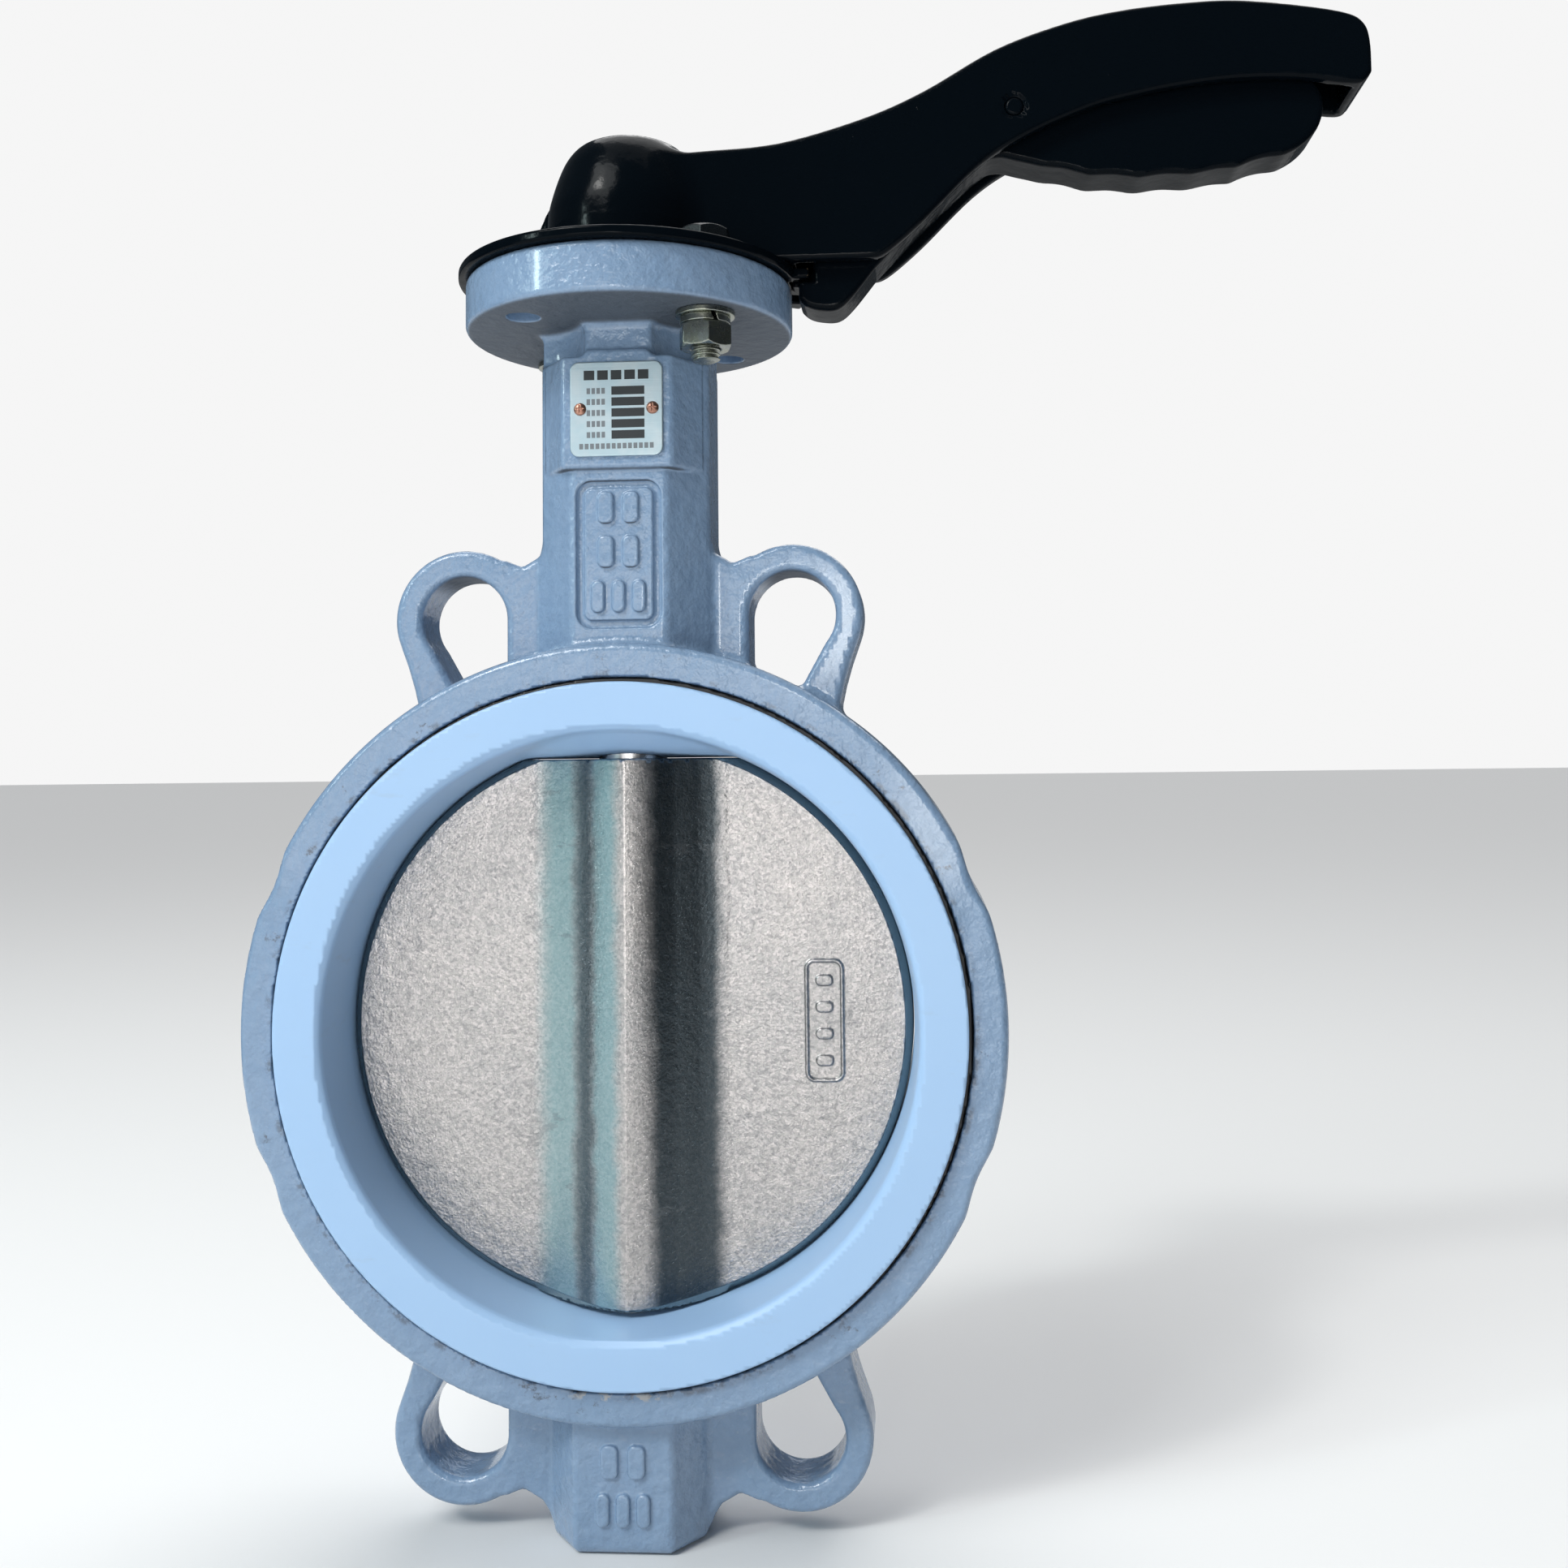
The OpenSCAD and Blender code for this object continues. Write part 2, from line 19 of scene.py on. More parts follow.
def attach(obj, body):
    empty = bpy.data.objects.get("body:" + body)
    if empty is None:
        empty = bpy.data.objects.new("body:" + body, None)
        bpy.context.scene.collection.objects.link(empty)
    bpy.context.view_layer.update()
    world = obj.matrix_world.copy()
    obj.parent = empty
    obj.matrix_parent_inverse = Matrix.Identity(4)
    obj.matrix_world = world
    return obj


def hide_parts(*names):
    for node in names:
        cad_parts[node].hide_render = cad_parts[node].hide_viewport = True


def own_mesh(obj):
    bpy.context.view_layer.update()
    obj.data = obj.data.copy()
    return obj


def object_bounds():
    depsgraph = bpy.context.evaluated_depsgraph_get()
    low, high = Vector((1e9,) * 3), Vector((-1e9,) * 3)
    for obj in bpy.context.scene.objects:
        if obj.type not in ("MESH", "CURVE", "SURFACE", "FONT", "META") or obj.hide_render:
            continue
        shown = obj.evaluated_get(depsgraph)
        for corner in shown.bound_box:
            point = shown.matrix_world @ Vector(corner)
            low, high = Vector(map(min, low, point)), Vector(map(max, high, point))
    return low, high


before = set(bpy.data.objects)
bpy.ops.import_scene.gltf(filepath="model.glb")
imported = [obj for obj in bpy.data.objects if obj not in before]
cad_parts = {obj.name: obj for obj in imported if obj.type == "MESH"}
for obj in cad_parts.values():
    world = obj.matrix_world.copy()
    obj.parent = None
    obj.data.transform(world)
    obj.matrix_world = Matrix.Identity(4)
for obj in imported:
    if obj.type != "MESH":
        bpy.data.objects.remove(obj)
CAD_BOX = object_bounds()
LOG = logging.getLogger("butterfly_valve")
MM = 0.001
Array = np.ndarray
Point = tuple[float, float]
Number = Union[float, "Level"]


class Body(Enum):
    """The three bodies that the pieces ride on."""

    CASING = "casing"
    ROTOR = "lever_and_disc"
    TRIGGER = "trigger"


class Slot(Enum):
    """The record's material slots."""

    PAINT = "casting_paint"
    SEAT = "seat_white"
    RUBBER = "rubber"
    DISC = "cast_disc"
    STEM = "stem_steel"
    SPRING = "spring_steel"
    ZINC = "zinc"
    ENAMEL = "black_enamel"
    NAMEPLATE = "nameplate"
    RIVET = "rivet"


# ---- shapes ----


def round_join(a: Array, b: Array, fillet: float) -> Array:
    """The union of two distances, with a fillet of that radius in the corner."""
    if fillet <= 0:
        return np.minimum(a, b)
    u = np.maximum(fillet - a, 0)
    v = np.maximum(fillet - b, 0)
    return np.maximum(fillet, np.minimum(a, b)) - np.sqrt(u * u + v * v)


def round_overlap(a: Array, b: Array, edge: float) -> Array:
    """The overlap of two distances, with its new edge rounded to that radius."""
    if edge <= 0:
        return np.maximum(a, b)
    u = np.maximum(edge + a, 0)
    v = np.maximum(edge + b, 0)
    return np.minimum(-edge, np.maximum(a, b)) + np.sqrt(u * u + v * v)


@dataclass(frozen=True)
class Form:
    """A solid, as the signed distance in millimetres from any point to its skin."""

    distance: Callable[[Array, Array, Array], Array]

    def join(self, other: "Form", fillet: float = 0.0) -> "Form":
        """Both solids, with a fillet where they meet."""
        return Form(lambda x, y, z: round_join(self.distance(x, y, z), other.distance(x, y, z), fillet))

    def cut(self, other: "Form", edge: float = 0.0) -> "Form":
        """This solid without the other, with the cut's edge rounded."""
        return Form(lambda x, y, z: round_overlap(self.distance(x, y, z), -other.distance(x, y, z), edge))

    def overlap(self, other: "Form", edge: float = 0.0) -> "Form":
        """What both solids hold, with the new edge rounded."""
        return Form(lambda x, y, z: round_overlap(self.distance(x, y, z), other.distance(x, y, z), edge))

    def both_sides(self, across_x: bool = True, across_y: bool = False, across_z: bool = False) -> "Form":
        """This solid and its mirror images across the planes through the origin."""

        def distance(x: Array, y: Array, z: Array) -> Array:
            return self.distance(np.abs(x) if across_x else x, np.abs(y) if across_y else y,
                                 np.abs(z) if across_z else z)

        return Form(distance)

    def turned(self, degrees: float) -> "Form":
        """This solid turned about the stem axis."""
        cos = math.cos(math.radians(degrees))
        sin = math.sin(math.radians(degrees))
        return Form(lambda x, y, z: self.distance(x * cos + y * sin, y * cos - x * sin, z))


def rod_y(x0: float, z0: float, radius: float) -> Form:
    """An endless rod along the pipe."""
    return Form(lambda x, y, z: np.hypot(x - x0, z - z0) - radius)


def rod_z(x0: float, y0: float, radius: float) -> Form:
    """An endless rod along the stem."""
    return Form(lambda x, y, z: np.hypot(x - x0, y - y0) - radius)


def slab_x(low: float, high: float) -> Form:
    """All points between two places across the pipe."""
    return Form(lambda x, y, z: np.abs(x - (low + high) / 2) - (high - low) / 2)


def slab_y(low: float, high: float) -> Form:
    """All points between two places along the pipe."""
    return Form(lambda x, y, z: np.abs(y - (low + high) / 2) - (high - low) / 2)


def slab_z(low: float, high: float) -> Form:
    """All points between two heights."""
    return Form(lambda x, y, z: np.abs(z - (low + high) / 2) - (high - low) / 2)


def plane(nx: float, ny: float, nz: float, offset: float) -> Form:
    """The half space below a plane, whose normal need not have length one."""
    size = math.sqrt(nx * nx + ny * ny + nz * nz)
    return Form(lambda x, y, z: (nx * x + ny * y + nz * z - offset) / size)


def outline_distance(u: Array, v: Array, points: Sequence[Point]) -> Array:
    """The signed distance from points u, v to a closed outline."""
    shape = np.broadcast(u, v).shape
    nearest = np.full(shape, 1e12)
    inside = np.zeros(shape, bool)
    for (ax, ay), (bx, by) in zip(points, list(points[1:]) + [points[0]]):
        ex, ey = bx - ax, by - ay
        wx, wy = u - ax, v - ay
        along = np.clip((wx * ex + wy * ey) / (ex * ex + ey * ey), 0, 1)
        nearest = np.minimum(nearest, (wx - ex * along) ** 2 + (wy - ey * along) ** 2)
        if ay != by:
            crosses = (ay > v) != (by > v)
            inside ^= crosses & (u < ex * (v - ay) / ey + ax)
    return np.where(inside, -1.0, 1.0) * np.sqrt(nearest)


def outline_xz(points: Sequence[Point]) -> Form:
    """An endless bar along the pipe with that outline in x and z."""
    return Form(lambda x, y, z: outline_distance(x, z, points))


def lathe_y(points: Sequence[Point]) -> Form:
    """An outline of radius and distance from the middle, turned about the pipe axis."""
    return Form(lambda x, y, z: outline_distance(np.hypot(x, z), np.abs(y), points))


def lathe_z(points: Sequence[Point], x0: float = 0.0, y0: float = 0.0) -> Form:
    """An outline of radius and height, turned about an upright axis."""
    return Form(lambda x, y, z: outline_distance(np.hypot(x - x0, y - y0), z, points))


def soft_box(x0: float, z0: float, width: float, height: float, radius: float) -> Form:
    """An endless bar along the pipe with a rounded rectangle as its outline."""

    def distance(x: Array, y: Array, z: Array) -> Array:
        u = np.abs(x - x0) - width / 2 + radius
        v = np.abs(z - z0) - height / 2 + radius
        return np.hypot(np.maximum(u, 0), np.maximum(v, 0)) + np.minimum(np.maximum(u, v), 0) - radius

    return Form(distance)


def hexagon(flats: float) -> Form:
    """An endless upright bar with a hexagon as its section."""

    def distance(x: Array, y: Array, z: Array) -> Array:
        sides = [np.abs(x * math.cos(math.radians(a)) + y * math.sin(math.radians(a))) for a in (0, 60, 120)]
        return np.maximum(np.maximum(sides[0], sides[1]), sides[2]) - flats / 2

    return Form(distance)


def flowing(points: Sequence[Point], closed: bool = False, steps: int = 6) -> list[Point]:
    """A smooth curve through the points.

    Args:
        points: The points that the curve passes through.
        closed: Whether the curve runs back to its first point.
        steps: How many pieces each stretch is divided into.

    Returns:
        The points of the curve.
    """
    count = len(points)
    at = (lambda i: points[i % count]) if closed else (lambda i: points[min(max(i, 0), count - 1)])
    curve: list[Point] = []
    for i in range(count if closed else count - 1):
        p0, p1, p2, p3 = (np.array(at(i + k)) for k in (-1, 0, 1, 2))
        for step in range(steps):
            t = step / steps
            place = 0.5 * (2 * p1 + (p2 - p0) * t + (2 * p0 - 5 * p1 + 4 * p2 - p3) * t * t
                           + (3 * p1 - p0 - 3 * p2 + p3) * t ** 3)
            curve.append((float(place[0]), float(place[1])))
    if not closed:
        curve.append(tuple(points[-1]))
    return curve


def spaced(low: float, high: float, step: float, fine: Sequence[tuple[float, float, float]] = ()) -> Array:
    """Sample places from low to high, closer together in the fine spans.

    Args:
        low: The first place.
        high: The last place.
        step: The usual distance between two places.
        fine: Spans as start, end and their own step.

    Returns:
        The places in rising order.
    """
    cuts = sorted({low, high} | {edge for start, end, _ in fine for edge in (start, end)})
    places = [low]
    for start, end in zip(cuts, cuts[1:]):
        middle = (start + end) / 2
        size = min([step] + [close for a, b, close in fine if a <= middle <= b])
        count = max(1, math.ceil((end - start) / size))
        places += [start + (end - start) * i / count for i in range(1, count + 1)]
    return np.array(places)


@dataclass(frozen=True)
class Sampling:
    """The places at which a form is sampled along each axis."""

    x: Array
    y: Array
    z: Array

    def skin(self, form: Form) -> tuple[Array, Array, Array]:
        """Finds the skin of a form.

        Args:
            form: The solid.

        Returns:
            The vertices in millimetres, the quads, and the normals.
        """
        reach = 4.0
        shape = (len(self.x), len(self.y), len(self.z))
        values = form.distance(self.x[:, None, None], self.y[None, :, None], self.z[None, None, :])
        values = np.clip(np.broadcast_to(values, shape), -reach, reach).astype(np.float32)
        volume = openvdb.FloatGrid(reach)
        volume.copyFromArray(np.ascontiguousarray(values))
        places, quads = volume.convertToQuads(0.0)
        places = places.astype(float)
        for axis, samples in enumerate((self.x, self.y, self.z)):
            places[:, axis] = np.interp(places[:, axis], np.arange(len(samples)), samples)
        limit = 0.5 * min(np.diff(self.x).min(), np.diff(self.y).min(), np.diff(self.z).min())
        for _ in range(2):
            slope = self.slope(form, places)
            gap = np.clip(form.distance(*places.T), -limit, limit)
            places -= slope * gap[:, None]
        normals = self.slope(form, places)
        corners = places[quads]
        facing = np.cross(corners[:, 2] - corners[:, 0], corners[:, 3] - corners[:, 1])
        if np.sum(facing * normals[quads[:, 0]]) < 0:
            quads = quads[:, ::-1]
        return places, quads, normals

    @staticmethod
    def slope(form: Form, places: Array) -> Array:
        """The outward direction of a form's distance at each place."""
        nudge = 0.05
        slope = np.empty_like(places)
        for axis in range(3):
            ahead, behind = places.copy(), places.copy()
            ahead[:, axis] += nudge
            behind[:, axis] -= nudge
            slope[:, axis] = form.distance(*ahead.T) - form.distance(*behind.T)
        return slope / np.maximum(np.linalg.norm(slope, axis=1), 1e-9)[:, None]


def edge_share(places: Array, quads: Array, normals: Array) -> Array:
    """How sharply the skin bends outward at each vertex, per millimetre."""
    pairs = np.concatenate([quads[:, [0, 1]], quads[:, [1, 2]], quads[:, [2, 3]], quads[:, [3, 0]]])
    offset = places[pairs[:, 1]] - places[pairs[:, 0]]
    length = np.maximum((offset ** 2).sum(1), 1e-9)
    bend = -(offset * normals[pairs[:, 0]]).sum(1) / length
    total = np.bincount(pairs[:, 0], bend, len(places))
    count = np.maximum(np.bincount(pairs[:, 0], minlength=len(places)), 1)
    return total / count


def skinned(name: str, form: Form, sampling: Sampling,
            copies: Sequence[tuple[float, float, float]] = ((0, 0, 0),)) -> bpy.types.Object:
    """Makes a mesh object of a form.

    Args:
        name: The piece's name.
        form: The solid in millimetres.
        sampling: Where the form is sampled.
        copies: Offsets in millimetres at which the solid is repeated.

    Returns:
        The object, in metres. Its edge attribute is high on outer edges, and its under attribute where
        the skin faces down.
    """
    places, quads, normals = sampling.skin(form)
    edges = edge_share(places, quads, normals)
    count = len(copies)
    moved = np.concatenate([places + np.array(offset, float) for offset in copies])
    faces = np.concatenate([quads.astype(int) + i * len(places) for i in range(count)])
    mesh = bpy.data.meshes.new(name)
    mesh.from_pydata((moved * MM).tolist(), [], faces.tolist())
    mesh.shade_smooth()
    mesh.normals_split_custom_set_from_vertices(np.tile(normals, (count, 1)).tolist())
    attribute = mesh.attributes.new("edge", "FLOAT", "POINT")
    attribute.data.foreach_set("value", np.tile(edges, count).astype(np.float32))
    attribute = mesh.attributes.new("under", "FLOAT", "POINT")
    attribute.data.foreach_set("value", np.tile(-normals[:, 2], count).astype(np.float32))
    obj = bpy.data.objects.new(name, mesh)
    bpy.context.scene.collection.objects.link(obj)
    return obj


def seated(obj: bpy.types.Object, body: Body, slot: Slot, material: bpy.types.Material,
           *nodes: str) -> bpy.types.Object:
    """Puts a new piece on its body, gives it its finish and hides what it stands for."""
    obj.data.materials.clear()
    obj.data.materials.append(material)
    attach(obj, body.value)
    if nodes:
        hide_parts(*nodes)
    LOG.info("%s: %d faces", obj.name, len(obj.data.polygons))
    return obj


def dressed(node: str, material: bpy.types.Material, bevel: float = 0.0) -> None:
    """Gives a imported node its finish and, if asked, a small bevel in metres."""
    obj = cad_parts[node]
    obj.data.materials.clear()
    obj.data.materials.append(material)
    if bevel > 0:
        rounding = obj.modifiers.new("rounding", "BEVEL")
        rounding.width = bevel
        rounding.segments = 2
        rounding.limit_method = "ANGLE"
        rounding.angle_limit = math.radians(40)
    LOG.info("%s: packed mesh", node)


# ---- shader sums ----


class Level:
    """A number that varies over a surface. Sums on it add Math nodes."""

    def __init__(self, paint: "Recipe", socket: bpy.types.NodeSocket) -> None:
        """Wraps a socket of a recipe."""
        self.paint = paint
        self.socket = socket

    def sum(self, operation: str, *values: Number) -> "Level":
        """Adds one Math node and returns its result."""
        inputs = {i: v for i, v in enumerate(values)}
        return Level(self.paint, self.paint.node("Math", {"operation": operation}, inputs).outputs[0])

    def __add__(self, other: Number) -> "Level":
        """This plus the other."""
        return self.sum("ADD", self, other)

    __radd__ = __add__

    def __sub__(self, other: Number) -> "Level":
        """This less the other."""
        return self.sum("SUBTRACT", self, other)

    def __rsub__(self, other: Number) -> "Level":
        """The other less this."""
        return self.sum("SUBTRACT", other, self)

    def __mul__(self, other: Number) -> "Level":
        """This times the other."""
        return self.sum("MULTIPLY", self, other)

    __rmul__ = __mul__

    def __pow__(self, other: Number) -> "Level":
        """This to a power."""
        return self.sum("POWER", self, other)

    def __abs__(self) -> "Level":
        """This without its sign."""
        return self.sum("ABSOLUTE", self)

    def rise(self, start: float, end: float) -> "Level":
        """From 0 at start to 1 at end, smoothly."""
        settings = {"interpolation_type": "SMOOTHSTEP"}
        node = self.paint.node("MapRange", settings, {"Value": self, "From Min": start, "From Max": end})
        return Level(self.paint, node.outputs[0])


class Recipe:
    """A material under construction."""

    def __init__(self, name: str) -> None:
        """Starts an empty material."""
        self.material = bpy.data.materials.new(name)
        self.material.use_nodes = True
        self.tree = self.material.node_tree
        self.tree.nodes.clear()
        self.place = self.node("TexCoord").outputs["Object"]

    def node(self, kind: str, settings: Optional[dict] = None,
             inputs: Optional[dict] = None) -> bpy.types.Node:
        """Adds a node.

        Args:
            kind: The node's type without its ShaderNode prefix.
            settings: Attributes, set before the sockets.
            inputs: Values or links by socket name or number.

        Returns:
            The new node.
        """
        node = self.tree.nodes.new("ShaderNode" + kind)
        for name, value in (settings or {}).items():
            setattr(node, name, value)
        for key, value in (inputs or {}).items():
            source = value.socket if isinstance(value, Level) else value
            if isinstance(source, bpy.types.NodeSocket):
                self.tree.links.new(source, node.inputs[key])
            else:
                node.inputs[key].default_value = source
        return node

    def axes(self) -> tuple[Level, Level, Level]:
        """The piece's own x, y and z, in metres."""
        split = self.node("SeparateXYZ", None, {"Vector": self.place})
        return tuple(Level(self, out) for out in split.outputs)

    def stretched(self, x: float, y: float, z: float) -> bpy.types.NodeSocket:
        """The piece's own place, scaled along each axis."""
        node = self.node("VectorMath", {"operation": "MULTIPLY"}, {0: self.place, 1: (x, y, z)})
        return node.outputs[0]

    def noise(self, scale: float, detail: float = 3.0, roughness: float = 0.5,
              place: Optional[bpy.types.NodeSocket] = None) -> Level:
        """Smooth noise from about 0.3 to 0.7."""
        inputs = {"Vector": place or self.place, "Scale": scale, "Detail": detail, "Roughness": roughness}
        return Level(self, self.node("TexNoise", {"normalize": True}, inputs).outputs[0])

    def scattered(self, scale: float) -> bpy.types.Node:
        """The node behind both kinds of cells."""
        return self.node("TexVoronoi", {"feature": "F1"}, {"Vector": self.place, "Scale": scale})

    def cells(self, scale: float) -> Level:
        """The distance to the nearest of many scattered points."""
        return Level(self, self.scattered(scale).outputs["Distance"])

    def cell_shade(self, scale: float) -> Level:
        """One random number for each small cell."""
        parts = self.node("SeparateColor", None, {0: self.scattered(scale).outputs["Color"]})
        return Level(self, parts.outputs[0])

    def stored(self, name: str) -> Level:
        """One of the numbers stored with the piece's mesh."""
        return Level(self, self.node("Attribute", {"attribute_name": name}).outputs["Fac"])

    def blend(self, factor: Number, first: object, second: object) -> bpy.types.NodeSocket:
        """Mixes two colours."""
        node = self.node("Mix", {"data_type": "RGBA", "blend_type": "MIX"})
        for key, value in ((0, factor), (6, first), (7, second)):
            source = value.socket if isinstance(value, Level) else value
            if isinstance(source, bpy.types.NodeSocket):
                self.tree.links.new(source, node.inputs[key])
            else:
                node.inputs[key].default_value = source if key == 0 else (*source[:3], 1.0)
        return node.outputs[2]

    def bump(self, height: Level, depth: float,
             below: Optional[bpy.types.NodeSocket] = None) -> bpy.types.NodeSocket:
        """Bends the normal by a height in units of depth metres."""
        inputs = {"Height": height, "Distance": depth, "Strength": 1.0}
        if below is not None:
            inputs["Normal"] = below
        return self.node("Bump", None, inputs).outputs[0]

    def surface(self, **sockets: object) -> bpy.types.Material:
        """Ends the recipe with one surface shader, whose sockets are named with underscores."""
        inputs = {}
        for key, value in sockets.items():
            label = key.replace("_", " ").title().replace("Ior", "IOR")
            is_colour = isinstance(value, tuple) and "Color" in label
            inputs[label] = (*value, 1.0) if is_colour else value
        shader = self.node("BsdfPrincipled", None, inputs)
        self.node("OutputMaterial", None, {"Surface": shader.outputs[0]})
        return self.material


# ---- finishes ----


@dataclass(frozen=True)
class CastingPaint:
    """Lavender blue enamel brushed over a sand cast skin."""

    colour: tuple = (0.198, 0.298, 0.442)
    pale: tuple = (0.255, 0.345, 0.485)
    deep: tuple = (0.135, 0.225, 0.365)
    grime: tuple = (0.050, 0.045, 0.045)
    bare: tuple = (0.42, 0.42, 0.42)
    # Painted shade: the colour that faces turned down under the flange are darkened to.
    painted_underside_shade: tuple = (0.050, 0.048, 0.044)
    lip_r: float = 0.0942
    face_r: float = 0.0965

    def material(self) -> bpy.types.Material:
        """Builds the finish."""
        mix = Recipe("casting_paint")
        x, y, z = mix.axes()
        cloud = mix.noise(38, 4, 0.6).rise(0.35, 0.68)
        fleck = mix.noise(420, 3, 0.6).rise(0.40, 0.62)
        skin = mix.blend(cloud * 0.3, self.colour, self.pale)
        skin = mix.blend((1 - fleck) * 0.22, skin, self.deep)
        edge = mix.stored("edge").rise(0.10, 0.45)
        skin = mix.blend(edge * 0.25, skin, self.pale)
        # Painted shade: faces turned down under the flange are darkened towards near-black, standing in for
        # the shade there.
        under = mix.stored("under").rise(0.55, 0.95) * z.rise(0.10, 0.12)
        skin = mix.blend(under * 0.80, skin, self.painted_underside_shade)
        radius = (x * x + z * z) ** 0.5
        lip = (1 - abs(radius - self.lip_r).rise(0.0004, 0.0016)) * (0 - y).rise(0.022, 0.024)
        smear = mix.noise(170, 4, 0.7).rise(0.50, 0.62)
        face = (1 - abs(radius - self.face_r).rise(0.0015, 0.0045)) * (0 - y).rise(0.022, 0.024)
        dirt = face * mix.noise(110, 5, 0.75).rise(0.60, 0.68) * 0.7
        skin = mix.blend(dirt, skin, self.grime)
        low = (1 - (z + 0.080).rise(0.0, 0.010)) * (1 - abs(x).rise(0.008, 0.016)) * lip
        chip = low * mix.noise(260, 3, 0.6).rise(0.50, 0.56)
        skin = mix.blend(chip, skin, self.bare)
        skin = mix.blend(lip * smear * 0.5, skin, self.grime)
        pits = 1 - mix.cells(310).rise(0.06, 0.20)
        pitted = mix.noise(24, 2, 0.5).rise(0.55, 0.66)
        ripple = mix.noise(230, 3, 0.55)
        sand = mix.noise(900, 2, 0.6)
        swell = mix.noise(46, 2, 0.5)
        normal = mix.bump(swell, 0.0013)
        normal = mix.bump(ripple, 0.00090, normal)
        normal = mix.bump(sand * 0.5 - pits * pitted * 0.8, 0.00011, normal)
        rough = 0.20 + mix.noise(90, 3, 0.6) * 0.14 + chip * 0.2 + under * 0.40
        return mix.surface(base_color=skin, roughness=rough, normal=normal, specular_ior_level=0.5,
                           coat_weight=0.45 - under * 0.45, coat_roughness=0.10)


@dataclass(frozen=True)
class SeatSheen:
    """Smooth pale fluoropolymer."""

    colour: tuple = (0.355, 0.535, 0.785)
    worn: tuple = (0.33, 0.40, 0.50)
    hazed: tuple = (0.46, 0.62, 0.80)

    def material(self) -> bpy.types.Material:
        """Builds the finish."""
        mix = Recipe("seat_white")
        rub = mix.noise(60, 4, 0.7, mix.stretched(1, 1, 3)).rise(0.60, 0.74)
        haze = mix.noise(18, 2, 0.5).rise(0.3, 0.7)
        skin = mix.blend(rub * 0.20, self.colour, self.worn)
        skin = mix.blend(haze * 0.12, skin, self.hazed)
        normal = mix.bump(mix.noise(26, 2, 0.5), 0.0004)
        rough = 0.34 + mix.noise(70, 3, 0.5) * 0.12
        return mix.surface(base_color=skin, roughness=rough, normal=normal, subsurface_weight=0.08,
                           subsurface_radius=(0.004, 0.005, 0.006), subsurface_scale=0.5)


@dataclass(frozen=True)
class CastSteel:
    """Blasted stainless casting with a machined rim, and painted reflection bands round the hub."""

    colour: tuple = (0.43, 0.415, 0.405)
    dull: tuple = (0.31, 0.32, 0.33)
    bright_grain: tuple = (0.72, 0.66, 0.66)
    dark_grain: tuple = (0.20, 0.20, 0.21)
    # Painted reflection: dark colour for the band right of the hub.
    hub_dark_reflection: tuple = (0.028, 0.045, 0.056)
    # Painted reflection: teal colour for the left fairing.
    flank_teal_reflection: tuple = (0.22, 0.40, 0.43)
    # Painted reflection: teal colour for the hub's left side.
    hub_teal_reflection: tuple = (0.20, 0.38, 0.42)
    # Painted reflection: dark colour for the junction between hub and left fairing.
    junction_dark_reflection: tuple = (0.05, 0.09, 0.11)
    scarred: tuple = (0.16, 0.17, 0.18)
    turned: tuple = (0.25, 0.30, 0.31)
    rim_start: float = 0.0753
    scratch: float = 0.30

    def material(self) -> bpy.types.Material:
        """Builds the finish."""
        mix = Recipe("cast_disc")
        x, _, z = mix.axes()
        radius = (x * x + z * z) ** 0.5
        rim = radius.rise(self.rim_start, self.rim_start + 0.0004)
        grain = mix.noise(1500, 3, 0.65)
        spark = mix.cell_shade(1700)
        cloud = mix.noise(30, 4, 0.6).rise(0.35, 0.65)
        skin = mix.blend(cloud * 0.35, self.colour, self.dull)
        skin = mix.blend((1 - rim) * spark.rise(0.15, 0.95) * 0.40, skin, self.bright_grain)
        fleck = mix.cell_shade(1250)
        skin = mix.blend((1 - rim) * fleck.rise(0.45, 1.0) * 0.40, skin, self.dark_grain)
        across = x + (mix.noise(95, 4, 0.7) - 0.5) * 0.0045
        # Painted reflection: a dark band right of the hub stands in for dark surroundings mirrored in the
        # fairing.
        dark_reflection_band = across.rise(0.0045, 0.0095) * (1 - across.rise(0.0225, 0.0280))
        skin = mix.blend(dark_reflection_band * 0.90, skin, self.hub_dark_reflection)
        left = 0 - across
        # Painted reflection: a teal band on the left fairing stands in for teal surroundings mirrored there.
        left_flank_reflection = left.rise(0.0125, 0.0165) * (1 - left.rise(0.0205, 0.0275))
        skin = mix.blend(left_flank_reflection * 0.60, skin, self.flank_teal_reflection)
        # Painted reflection: a teal band on the hub's left side stands in for teal surroundings mirrored
        # there.
        side = left.rise(0.0005, 0.0045) * (1 - left.rise(0.0075, 0.0110))
        skin = mix.blend(side * 0.65, skin, self.hub_teal_reflection)
        # Painted reflection: a dark line where the hub meets the left fairing stands in for dark surroundings
        # mirrored in that hollow.
        junction_dark_band = left.rise(0.0075, 0.0110) * (1 - left.rise(0.0125, 0.0165))
        skin = mix.blend(junction_dark_band * 0.80, skin, self.junction_dark_reflection)
        scars = mix.noise(55, 4, 0.7, mix.stretched(1, 1, 2.2)).rise(0.635, 0.66)
        skin = mix.blend(scars * (1 - rim) * self.scratch, skin, self.scarred)
        skin = mix.blend(rim, skin, self.turned)
        coarse = mix.noise(380, 3, 0.6)
        cast = 1 - rim
        open_face = 0.45 + abs(x).rise(0.0235, 0.0275) * 0.55
        normal = mix.bump(coarse * cast * open_face, 0.00026)
        normal = mix.bump((grain + spark * 0.6) * cast * open_face, 0.00013, normal)
        rough = 0.25 - rim * 0.05 + mix.noise(60, 3, 0.6) * 0.12
        return mix.surface(base_color=skin, metallic=1.0, roughness=rough, normal=normal)


